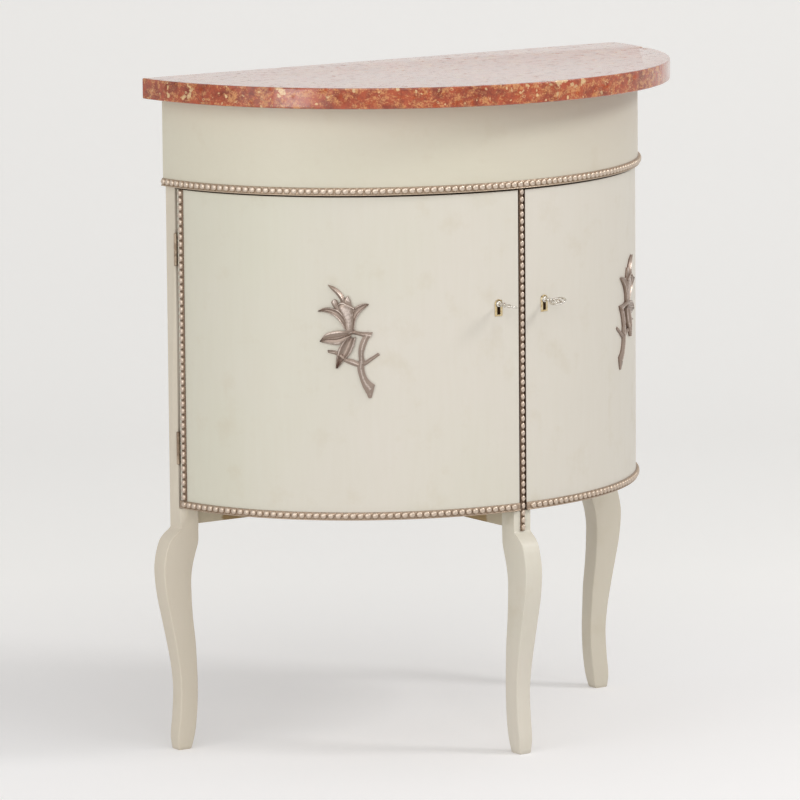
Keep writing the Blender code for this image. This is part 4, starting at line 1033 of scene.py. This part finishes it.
def straight_row(seat, out, low, high, width, bead):
    """A plate and its beads up a line: places share x and y, and heights are the middles of equal steps."""
    out = np.array(out, float)
    over = np.cross(out, UP)
    count = round((high - low) / BEAD_PITCH)
    ends = np.array([[seat[0], seat[1], low], [seat[0], seat[1], high]]) - over * width / 2
    plate = carried(plate_profile(width, False), ends, np.tile(over, (2, 1)), np.tile(out, (2, 1)))
    heights = np.linspace(low, high, 2 * count + 1)[1::2]
    places = np.column_stack([np.full(count, seat[0]), np.full(count, seat[1]), heights])
    ways = [np.tile(way, (count, 1)) for way in (UP, out, over)]
    return together([plate, beads(places, *ways, *bead)]), count


seat, out = plan_place(*row_sizes, math.asin((HINGE_EDGE + SIDE_ROW_OFFSET) / row_sizes[1]), 0)
side_row_low = door_low.z + RING_HEIGHT + GAP
shape, count = straight_row(seat, out, side_row_low, door_high.z, SIDE_ROW_WIDTH, SIDE_BEAD)
for name, side in SIDES.items():
    row = new_object(name + "_door_side_bead_row", mirrored(shape, side))
    store_relief(row, over_plan(mesh_points(row), door_half_width, door_depth), PEAK)
    settle(row, strip_silver, name + "_door_leaf", [name + "_door_side_beads"], BEAD_CREASE)
strip_low, strip_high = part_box("centre_bead_strip")
shape, count = straight_row((0, strip_high.y), (0, -1, 0), strip_low.z, strip_high.z, CENTRE_ROW_WIDTH,
                            CENTRE_BEAD)
row = new_object("centre_bead_row", shape)
store_relief(row, strip_high.y - mesh_points(row)[:, 1], PEAK)
settle(row, strip_silver, "carcass", ["centre_bead_strip"], BEAD_CREASE)
print("beads on the middle post:", count)

# %% [markdown]
# ## Doors
#
# Each door is a piece of bent laminated wood, drawn as the frieze is, with a smooth face of some
# hundred narrow strips. The keyhole, the pocket of the lock and the recesses of the hinges are then
# cut, as they are in the real door.

# %% Keyhole frame
KEYHOLE_FROM_MIDDLE = 0.034
KEYHOLE_HEIGHT = 0.5585
KEYHOLE_RADIUS = 0.0044
KEYHOLE_HALF_SLOT = 0.0023
KEYHOLE_DROP = 0.013
keyhole_turn = math.acos(KEYHOLE_FROM_MIDDLE / door_half_width)
key_seat, key_out = plan_place(door_half_width, door_depth, keyhole_turn, KEYHOLE_HEIGHT)
key_along = np.cross(key_out, UP)
print("keyhole at", key_seat.round(4), "facing", key_out.round(3))


def at_keyhole(surface):
    """Put a surface drawn as (towards the post, up, outward) about the keyhole of the right door."""
    return placed(surface, key_seat, key_along, UP, key_out)


def arch_outline(radius, half, drop, steps=20):
    """A round top over a straight slot: most of a circle, closed by the slot's two lower corners."""
    meet = math.asin(min(1.0, half / radius))
    turns = np.linspace(meet - math.pi / 2, 1.5 * math.pi - meet, steps + 1)
    arc = radius * np.stack([np.cos(turns), np.sin(turns)], 1)
    return np.concatenate([[[-half, -drop], [half, -drop]], arc])


def block(low, high):
    """A plain box between two corners, used as a cutting tool."""
    outline = np.array([(low[0], low[1]), (high[0], low[1]), (high[0], high[1]), (low[0], high[1])], float)
    return raised(outline, low[2], high[2])


# %% Door panels
DOOR_STEPS = 130
OVERRUN = 0.004
HINGE_AXIS = (0.3238, 0.0215)
HINGE_HEIGHTS = (0.3763, 0.6208)
HINGE_HALF = 0.0205
LEAF_HALF = 0.0014
LEAF_REACH = 0.0148
KNUCKLE_HALF = 0.0024
LOCK_POCKET = 0.003
LOCK_REAR = -0.0153
LOCK_LOW = -0.0143
LOCK_HIGH = 0.0225
LOCK_FROM_MIDDLE = 0.01275
LOCK_BACK = 0.0234


def hinge_recesses():
    """What a hinge takes out of the door's edge: a slot for the leaves and a wider one for the knuckles."""
    outside = HINGE_AXIS[0] + OVERRUN
    axis_y = BACK_LINE - HINGE_AXIS[1]
    tools = []
    for height in HINGE_HEIGHTS:
        for reach, half in ((LEAF_REACH, LEAF_HALF), (KNUCKLE_HALF, KNUCKLE_HALF)):
            tools.append(block((HINGE_AXIS[0] - reach, axis_y - half, height - HINGE_HALF),
                               (outside, axis_y + half, height + HINGE_HALF)))
    return tools


def door_panel():
    """The right door: two arcs from the meeting edge to the hinge edge, joined as a bent board."""
    lines = []
    for setback in (0, DOOR_THICKNESS):
        wide, deep = door_half_width - setback, door_depth - setback
        hinge, meeting = door_turns(wide, deep)
        lines.append(plan_points(wide, deep, even_turns(wide, deep, meeting, hinge, DOOR_STEPS)[0]))
    return bent_board(*lines, door_low.z, door_high.z, ARRIS)


hole_outline = arch_outline(KEYHOLE_RADIUS, KEYHOLE_HALF_SLOT, KEYHOLE_DROP)
keyhole = raised(hole_outline, -DOOR_THICKNESS - OVERRUN, OVERRUN)
lock_front = (key_seat[0] - LOCK_FROM_MIDDLE - LOCK_BACK * key_out[0]) / -key_along[0]
pocket = block((LOCK_REAR, LOCK_LOW, -DOOR_THICKNESS - OVERRUN),
               (lock_front + GAP, LOCK_HIGH, LOCK_POCKET - DOOR_THICKNESS))
for name, side in SIDES.items():
    panel = new_object(name + "_door_panel", mirrored(door_panel(), side))
    tools = [at_keyhole(keyhole), at_keyhole(pocket)] + hinge_recesses()
    carve(panel, [mirrored(tool, side) for tool in tools])
    settle(panel, door_paint, name + "_door_leaf", [name + "_door"])

# %% [markdown]
# ## Legs and posts
#
# Each leg is sawn from one length of wood with its post: square above, and below in the S curve of a
# cabriole leg, rasped so that its arrises are just rounded. The curve of the outer face, of the
# inner face and of the width are tables of shares read as smooth lines, and a rounded rectangle is
# stacked up them. The post above has rebates for doors and frieze, and is a merged copy of its solid.

# %% Smooth tables
def smooth_line(knots, values, at):
    """A smooth line through values at knots: cubic pieces whose slopes are the neighbours' mean slopes."""
    knots = np.asarray(knots, float)
    values = np.asarray(values, float)
    slope = np.gradient(values, knots, axis=0)
    k = np.clip(np.searchsorted(knots, at, side="right") - 1, 0, len(knots) - 2)
    span = (knots[k + 1] - knots[k]).reshape((-1,) + (1,) * (values.ndim - 1))
    s = ((at - knots[k]) / (knots[k + 1] - knots[k])).reshape(span.shape)
    return ((2 * s ** 3 - 3 * s ** 2 + 1) * values[k] + (s ** 3 - 2 * s ** 2 + s) * span * slope[k]
            + (3 * s ** 2 - 2 * s ** 3) * values[k + 1] + (s ** 3 - s ** 2) * span * slope[k + 1])


# %% Legs
POST_DEPTH = 0.025
POST_WIDTH = 0.0245
KNEE_REACH = 0.0245
LEG_HEIGHT = 0.2765
OUTER_SHARES = ((0.000, 0.19), (0.044, 0.25), (0.152, 0.13), (0.284, 0.06), (0.385, 0.17), (0.474, 0.35),
                (0.600, 0.65), (0.695, 0.88), (0.778, 1.00), (0.831, 1.02), (0.886, 0.92), (0.922, 0.80),
                (0.957, 0.58), (0.979, 0.30), (0.991, 0.10), (1.000, 0.00))
INNER_SHARES = ((0.000, 0.47), (0.044, 0.33), (0.152, 0.15), (0.284, 0.08), (0.385, 0.13), (0.474, 0.19),
                (0.600, 0.36), (0.695, 0.43), (0.778, 0.43), (0.831, 0.34), (0.886, 0.16), (0.922, 0.03),
                (1.000, 0.00))
WIDTH_SHARES = ((0.000, 0.68), (0.044, 0.76), (0.284, 0.84), (0.695, 1.00), (1.000, 1.00))
LEG_ROUNDING = 0.0016
FOOT_EASE = 0.0009
JOIN_OVERLAP = 0.002


def leg_rings(outer_face):
    """Rounded rectangles up the leg as (outward, across, height): the tables give faces, arcs the corners."""
    share = np.concatenate([[0], np.linspace(0.004, 0.9, 60), np.linspace(0.91, 1, 25)])
    tables = [smooth_line(*zip(*table), share) for table in (OUTER_SHARES, INNER_SHARES, WIDTH_SHARES)]
    outer = outer_face + KNEE_REACH * tables[0]
    inner = outer_face + KNEE_REACH * tables[1] - POST_DEPTH
    half = POST_WIDTH / 2 * np.minimum(tables[2], 1)
    radius = LEG_ROUNDING * np.interp(share, [0, 0.9, 1], [1, 1, 0.15])
    foot = np.where(share == 0, FOOT_EASE, 0)
    turns = np.radians([0, 22.5, 45, 67.5, 90])
    rings = []
    for out_sign, over_sign, start in ((1, 1, 0), (-1, 1, 90), (-1, -1, 180), (1, -1, 270)):
        angle = turns + math.radians(start)
        edge = np.where(out_sign > 0, outer - foot, inner + foot) - out_sign * radius
        side = over_sign * (half - foot - radius)
        rings.append(np.stack([edge[:, None] + radius[:, None] * np.cos(angle),
                               side[:, None] + radius[:, None] * np.sin(angle)], -1))
    rings = np.concatenate(rings, 1)
    height = np.broadcast_to((share * LEG_HEIGHT)[:, None, None], rings.shape[:2] + (1,))
    rings = np.concatenate([rings, height], 2)
    top = rings[-1:] + [0, 0, JOIN_OVERLAP]
    return np.concatenate([rings, top])


def post_copy(name, low):
    """A merged copy of the solid's post above a height, with the cut closed."""
    body = bmesh.new()
    body.from_mesh(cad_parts[name].data)
    bmesh.ops.remove_doubles(body, verts=body.verts, dist=1e-6)
    geometry = body.verts[:] + body.edges[:] + body.faces[:]
    bmesh.ops.bisect_plane(body, geom=geometry, plane_co=(0, 0, low), plane_no=(0, 0, 1), clear_inner=True)
    bmesh.ops.edgeloop_fill(body, edges=[edge for edge in body.edges if edge.is_boundary])
    mesh = bpy.data.meshes.new(name + "_post")
    body.to_mesh(mesh)
    body.free()
    return in_scene(name + "_painted", mesh)


def leg_surface(name):
    """A leg's rings set on its post: a rear leg bends sideways, and the front one forwards."""
    if name == "front_leg":
        face = BACK_LINE - strip_high.y - GAP
        rings = leg_rings(face)
        return shell(np.stack([rings[..., 1], BACK_LINE - rings[..., 0], rings[..., 2]], -1))
    rings = leg_rings(door_half_width)
    depth = rings[..., 1] - POST_WIDTH / 2
    side = SIDES[name.split("_")[0]]
    return shell(np.stack([side * rings[..., 0], BACK_LINE + depth, rings[..., 2]], -1))


for name in ("left_rear_leg", "right_rear_leg", "front_leg"):
    leg = post_copy(name, LEG_HEIGHT + GAP / 2)
    carve(leg, [leg_surface(name)], "UNION")
    finish = front_paint if name == "front_leg" else rear_paint
    settle(leg, finish, "carcass", [name])

# %% [markdown]
# ## Boards, rails and back
#
# The rails under the bottom board, the cleats of the shelf and the thin back are plain sawn boards:
# their solids have the right shape and only need wood. The rails' ends were painted over when the
# legs were. The shelf and the bottom board have long curved front edges, so those two are drawn again.

# %% Boards
BOARD_EDGE_GAP = 0.0008
SHELF_SETBACK = 0.004
POST_INNER = 0.298
FRONT_POST_BACK = 0.264
BACK_LAYER = 0.0083
BOARD_STEPS = 90


def board_outline(setback):
    """A D inside the doors, notched round the posts: the right half's points and their mirror image."""
    wide, deep = door_half_width - setback, door_depth - setback
    notch = POST_WIDTH + GAP
    flank = POST_WIDTH / 2 + GAP
    turns = even_turns(wide, deep, math.acos(flank / wide), math.asin(notch / deep), BOARD_STEPS)[0]
    arc = plan_points(wide, deep, turns)
    front = [[flank, BACK_LINE - FRONT_POST_BACK + GAP]]
    rear = [[POST_INNER - GAP, BACK_LINE - notch], [POST_INNER - GAP, BACK_LINE - BACK_LAYER]]
    right = np.concatenate([front, arc, rear])
    return np.concatenate([right, right[::-1] * [-1, 1]])


for name, setback in (("bottom_board", 0), ("shelf", SHELF_SETBACK)):
    low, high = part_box(name)
    shape = slab(board_outline(DOOR_THICKNESS + BOARD_EDGE_GAP + setback), low.z, high.z, ARRIS)
    board = new_object(name + "_wood", shape)
    settle(board, level_wood, "carcass", [name])

rail_wood = bare_wood("bare_softwood_painted_rail_ends", "X", (0, 0.262, 0.266))
spine_wood = bare_wood("bare_softwood_painted_rail_front", "Y", (1, 0.058, 0.062))
KEPT_WOOD = {"carcass_top": level_wood, "back_panel": level_wood, "shelf_back_cleat": level_wood,
             "shelf_front_cleat": deep_wood, "back_rail": rail_wood, "centre_rail": spine_wood}
for name, finish in KEPT_WOOD.items():
    give_finish(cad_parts[name], finish)
print("boards kept as solids:", len(KEPT_WOOD))

# %% [markdown]
# ## Carved flowers
#
# The flower is carved from thin wood and glued on: an open tulip, two leaves and a forked twig. Each
# part is a blade between two edge lines, which were drawn flat in millimetres, across towards the
# middle post and up. Its cross-section is one of four: round as a petal, ridged as a cut stem, hollow
# as a curled leaf, or hollow on both sides of a rib. The flat drawing is bent round the door last.

# %% Sections and blades
SPRIG_TURN = math.radians(50)
SPRIG_HEIGHT = 0.519
RIM_REACH = 0.0035
UNDERCUT = 0.0006
SECTIONS = {"round": (0.0, 0.5, 0.78, 0.94, 1.0, 0.94, 0.78, 0.5, 0.0),
            "ridge": (0.0, 0.24, 0.48, 0.74, 1.0, 0.74, 0.48, 0.24, 0.0),
            "hollow": (0.7, 1.0, 0.5, 0.12, 0.0, 0.12, 0.5, 1.0, 0.7),
            "ribbed": (0.5, 0.8, 0.3, 0.2, 1.0, 0.2, 0.3, 0.8, 0.5)}


def resampled(line, count):
    """A smooth line through a few points, read at even shares of its chord length."""
    line = np.array(line, float)
    share = np.concatenate([[0], np.cumsum(np.linalg.norm(np.diff(line, axis=0), axis=1))])
    return smooth_line(share / share[-1], line, np.linspace(0, 1, count))


def blade(left, right, section, low, high, lifts=(1, 1, 1), stations=16):
    """Points between two edge lines, as high as low to high by the section, times a lift along the way."""
    left, right = resampled(left, stations), resampled(right, stations)
    shares = np.array(SECTIONS[section])
    across = np.linspace(0, 1, len(shares))
    lift = np.interp(np.linspace(0, 1, stations), np.linspace(0, 1, len(lifts)), lifts)
    flat = left[:, None] + across[None, :, None] * (right - left)[:, None]
    height = (low + (high - low) * shares)[None, :] * lift[:, None]
    top = np.concatenate([flat, height[..., None]], -1)
    floor = top[:, [-1, 0]].copy()
    floor[..., 2] = -UNDERCUT * 1000
    return np.concatenate([top, floor], 1) / 1000


def share_of_rim(points, height):
    """Each point's height as a share of the highest one within reach, so that thin tips count as rims; there
    the silver's top colour is partly a painted highlight.
    """
    apart = np.linalg.norm(points[:, None] - points[None], axis=2)
    highest = np.where(apart < RIM_REACH, height[None], 0).max(1)
    return height / np.maximum(highest, UNDERCUT)


def on_door(rings):
    """Bend a flat drawing round the right door: the turn grows by distance over the arc's rate there."""
    rate = math.hypot(door_half_width * math.sin(SPRIG_TURN), door_depth * math.cos(SPRIG_TURN))
    flat = rings.reshape(-1, 3)
    seats, out = plan_frames(door_half_width, door_depth, SPRIG_TURN + flat[:, 0] / rate, 0)
    seats = seats + out * flat[:, 2:]
    seats[:, 2] = SPRIG_HEIGHT + flat[:, 1]
    return shell(seats.reshape(rings.shape))


# %% Flower, leaves and twigs
# Each blade: its left edge, its right edge, its section, its lowest and highest, and lifts along it if any.
FLOWER = (
    ([(-4.3, 15), (-9.7, 25), (-17.8, 33), (-26.6, 37), (-37.2, 37.9)],
     [(1, 19), (-6, 33), (-12, 39.8), (-20.5, 42.3), (-29, 42.4), (-37.2, 38.6)],
     "hollow", 2.2, 4.2, (1, 1.2, 0.8)),
    ([(6.5, 15), (8.5, 27.7), (13.2, 35.7), (19.3, 41.7), (24, 46)],
     [(1, 19), (3.8, 33), (6, 40.6), (11.5, 45.3), (19.3, 47.3), (24, 46.8)],
     "hollow", 2.0, 4.0, (1, 1.1, 0.8)),
    ([(-7, 42), (-6.5, 47.8), (-4.5, 52.5), (-1.6, 56.7)],
     [(5, 40), (4, 45.5), (2.6, 51), (-0.4, 56.7)], "round", 2.4, 3.4),
    ([(-9, 44), (-10, 51.8), (-14.4, 58.5), (-19.8, 63.9), (-24.8, 69.6)],
     [(-2, 44), (-3.6, 52.5), (-8.2, 60.5), (-14.6, 66.3), (-23.6, 70)], "ridge", 1.8, 4.6, (1, 1, 0.7)),
    ([(-15, 38), (-18.2, 44), (-20.6, 49.6), (-18, 52.2)],
     [(-8, 40), (-11.4, 46.6), (-14.2, 51.6), (-16.6, 52.6)], "round", 1.8, 3.4),
    ([(-4.6, 14), (-6.5, 27.7), (-10.8, 38.4), (-12.9, 44.4), (-9, 48.8)],
     [(5.4, 14), (6.3, 29), (6, 38), (6.2, 42.2), (4.5, 43)], "round", 2.6, 5.0, (0.7, 1.0, 1.1)),
    ([(-13.6, 44), (-9.6, 47), (-2, 44.6), (6.2, 40.6)],
     [(-13.4, 45.4), (-9.2, 49.8), (-1.2, 47), (7, 42.6)], "round", 4.4, 6.0),
)
LEAVES = (
    ([(-35.2, 2), (-28, 10.4), (-17.8, 13.9), (-7, 14.5), (3, 13)],
     [(-35.2, 1.2), (-23.2, -1.5), (-12.4, -2.2), (-4.3, 1.8), (3, 7.2)], "ribbed", 1.6, 4.2, (0.7, 1, 0.9)),
    ([(-4, 5), (-11.1, -4.2), (-14.6, -15.3), (-15.8, -24.7), (-16, -31)],
     [(8.6, 7), (6, -4.6), (1.4, -14), (-5.4, -21), (-13.6, -31)], "hollow", 0.8, 4.8, (1, 1, 0.7)),
)
TWIGS = (
    ([(0, 15), (4, 15.6), (11.9, 13.4), (22.6, 12.6), (28.4, 12.4)],
     [(0, 8), (2.4, 9.8), (11.9, 9), (18.6, 6.6), (24, 4.6)], "ridge", 2.2, 4.6, (1.2, 1, 1)),
    ([(18, 10), (13.2, -0.5), (11.2, -9.9), (11.7, -19.3), (11.9, -29)],
     [(28.6, 12.2), (22.8, 2.8), (19.5, -5.9), (17.5, -14), (18.8, -22)], "ridge", 1.8, 4.4),
    ([(11, -22), (9.8, -30), (11.9, -40.8), (15.9, -52.9), (20.5, -62)],
     [(18, -22), (18, -29.4), (19.5, -38.1), (24.4, -46.6), (30.4, -51.4)], "ridge", 1.8, 4.4),
    ([(20.5, -61), (21.4, -64), (23, -67.6)],
     [(30.6, -51.2), (29, -58.5), (26.6, -67.2)], "round", 1.6, 2.6, (1.4, 1, 0.7)),
    ([(14, -21), (17.3, -22.2), (25.3, -18.4), (34.8, -12.6)],
     [(15, -29.5), (19.3, -27.6), (28, -21.6), (37, -15.2)], "ridge", 1.4, 3.2, (1.2, 1, 0.8)),
    ([(14, -24.7), (3.8, -19.8), (-1.6, -19), (-16.4, -9.6), (-25.6, -9)],
     [(12.2, -30.2), (1.1, -26.2), (-5.7, -23), (-16.4, -14.4), (-25, -12.2)], "ridge", 1.4, 3.4),
)
parts = [on_door(blade(*row)) for row in FLOWER + LEAVES + TWIGS]
drawing = new_object("flower_drawing", parts[0])
carve(drawing, parts[1:], "UNION")
flower_shape = surface_of(drawing)
bpy.data.objects.remove(drawing, do_unlink=True)
for name, side in SIDES.items():
    sprig = new_object(name + "_carved_flower", mirrored(flower_shape, side))
    points = mesh_points(sprig)
    # Rims and tips get relief near 1 and so the pale top colour: rubbed silver and partly a painted
    # highlight.
    store_relief(sprig, share_of_rim(points, over_plan(points, door_half_width, door_depth)), 1)
    settle(sprig, carved_silver, name + "_door_leaf", [name + "_flower_carving"])

# %% [markdown]
# ## Keyhole plates and keys
#
# A keyhole plate is stamped from thin brass: the same arched outline twice, once for the hole and once for
# the rim, with a rounded face between. A key is turned with a collar that meets the plate, then its
# bow is a flattened oval ring, filled with a baluster bar and two small rings.

# %% Keyhole plates
PLATE_THICK = 0.001
PLATE_RADIUS = 0.0054
PLATE_HALF = 0.0052
PLATE_DROP = 0.015


def keyhole_plate():
    """A loop of outlines: hole low, rim low, rim part way up, a step in, and the hole's edge at the top."""
    rim = arch_outline(PLATE_RADIUS, PLATE_HALF, PLATE_DROP)
    top = GAP + PLATE_THICK
    stations = ((0, GAP), (1, GAP), (1, top - 0.0005), (0.8, top - 0.0001), (0.45, top),
                (0.12, top - 0.0001), (0, top - 0.0004))
    rings = [np.column_stack([hole_outline + share * (rim - hole_outline), np.full(len(rim), height)])
             for share, height in stations]
    return shell(np.stack(rings), looped=True)


for name, side in SIDES.items():
    plate = new_object(name + "_keyhole_plate", mirrored(at_keyhole(keyhole_plate()), side))
    settle(plate, brass, name + "_door_leaf", [name + "_escutcheon"])

# %% Keys
KEY_TURNS = {"left": math.radians(14), "right": math.radians(22)}
KEY_LATHE = ((0, -0.0215), (0.0018, -0.0215), (0.0023, -0.0209), (0.0023, -0.003), (0.004, -0.0029),
             (0.004, 0.0012), (0.0036, 0.0018), (0.0029, 0.002), (0.0029, 0.0024), (0.0024, 0.0027),
             (0.0019, 0.0034), (0.0018, 0.0075), (0.0025, 0.0082), (0.0027, 0.0089), (0.0025, 0.0096),
             (0.0018, 0.0103), (0.0018, 0.0128), (0.0026, 0.0138), (0.0028, 0.0148), (0.002, 0.0158),
             (0.0, 0.016))
BOW_MIDDLE = 0.0256
BOW_LONG = 0.0105
BOW_WIDE = 0.008
BOW_BAND = 0.0014
BOW_HALF_THICK = 0.0012
BAR_LATHE = ((0, 0.0145), (0.0011, 0.015), (0.0011, 0.0196), (0.0016, 0.0212), (0.001, 0.0222),
             (0.0021, 0.0238), (0.0024, 0.0256), (0.0021, 0.0274), (0.001, 0.029), (0.0016, 0.03),
             (0.0011, 0.0316), (0.0011, 0.035), (0, 0.0356))
SCROLL_ASIDE = 0.0043
SCROLL_RADIUS = 0.0019
SCROLL_BAND = 0.0007
SCROLL_HALF_THICK = 0.0009
BIT_FROM = -0.0205
BIT_REACH = 0.011
BIT_WIDTH = 0.005
BIT_THICK = 0.0026
CIRCLE = np.linspace(0, math.tau, 12, endpoint=False) + 0.13


def ring_tube(middle, half_sizes, band, thick, steps=40):
    """An oval ring in the X Z plane: an oval section carried round an ellipse, facing its outward way."""
    turn = np.linspace(0, math.tau, steps, endpoint=False)
    wide, tall = half_sizes
    zero = np.zeros(steps)
    seats = np.stack([middle[0] + wide * np.cos(turn), zero, middle[1] + tall * np.sin(turn)], 1)
    out = np.stack([np.cos(turn) / wide, zero, np.sin(turn) / tall], 1)
    out /= np.linalg.norm(out, axis=1, keepdims=True)
    section = np.stack([thick * np.cos(CIRCLE), band * np.sin(CIRCLE)], 1)
    return carried(section, seats, np.tile([0.0, 1.0, 0.0], (steps, 1)), out, looped=True)


def key_parts():
    """A key along Z with its bow and bit in the X Z plane: turned parts, oval rings and the bit's block."""
    bow = ring_tube((0, BOW_MIDDLE), (BOW_WIDE, BOW_LONG), BOW_BAND, BOW_HALF_THICK)
    parts = [turned(KEY_LATHE, 24), bow, turned(BAR_LATHE, 16)]
    for way in (-1, 1):
        middle = (way * SCROLL_ASIDE, BOW_MIDDLE)
        parts.append(ring_tube(middle, (SCROLL_RADIUS, SCROLL_RADIUS), SCROLL_BAND, SCROLL_HALF_THICK, 24))
    parts.append(block((0, -BIT_THICK / 2, BIT_FROM), (BIT_REACH, BIT_THICK / 2, BIT_FROM + BIT_WIDTH)))
    return parts


for name, side in SIDES.items():
    turn = KEY_TURNS[name]
    bow_way = -math.cos(turn) * key_along + math.sin(turn) * UP
    parts = [mirrored(placed(part, key_seat, bow_way, np.cross(key_out, bow_way), key_out), side)
             for part in key_parts()]
    key = new_object(name + "_turned_key", parts[0])
    carve(key, parts[1:], "UNION")
    settle(key, nickel, name + "_turning_key", [name + "_key"])

# %% [markdown]
# ## Locks and hinges
#
# The locks' cases, their bolts and the hinges keep their solids, since folded and drawn metal is as
# plain as that. Each case is held by four round-headed screws, which are drawn here as domes cut by a
# slot across the middle.

# %% Lock screws
SCREW_RADIUS = 0.0017
SCREW_RISE = 0.001
SLOT_HALF = 0.00025
SLOT_ALONG = (0.8, 0.6, 0)
SLOT_ACROSS = (0.6, -0.8, 0)
SCREW_PLACES = ((-0.0118, -0.0108), (0.0158, -0.0108), (-0.0118, 0.019), (0.0158, 0.019))
CASE_BACK = -0.0222
SCREW_LATHE = ((0, -0.0004), (SCREW_RADIUS, -0.0004), (SCREW_RADIUS, 0.0002), (SCREW_RADIUS * 0.8, 0.0007),
               (SCREW_RADIUS * 0.4, 0.00095), (0, SCREW_RISE))
for name, side in SIDES.items():
    domes = []
    slots = []
    for along, up in SCREW_PLACES:
        seat = (along, up, CASE_BACK)
        domes.append(placed(turned(SCREW_LATHE, 16), seat, (1, 0, 0), (0, -1, 0), (0, 0, -1)))
        cut = block((-SCREW_RADIUS, -SLOT_HALF, 0.0005), (SCREW_RADIUS, SLOT_HALF, SCREW_RISE + 0.001))
        slots.append(placed(cut, seat, SLOT_ALONG, SLOT_ACROSS, (0, 0, -1)))
    screws = new_object(name + "_lock_screws", mirrored(at_keyhole(together(domes)), side))
    carve(screws, [mirrored(at_keyhole(slot), side) for slot in slots])
    settle(screws, iron, name + "_door_leaf")

# %% Finishes of the kept metal solids
KEPT_METAL = {"_lock_case": iron, "_lock_bolt": steel, "_leaf": silver_hinge, "_pin": silver_hinge,
              "_screw": iron}
kept = 0
for name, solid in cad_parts.items():
    for ending, finish in KEPT_METAL.items():
        if name.endswith(ending):
            give_finish(solid, finish)
            kept += 1
print("kept metal solids:", kept)
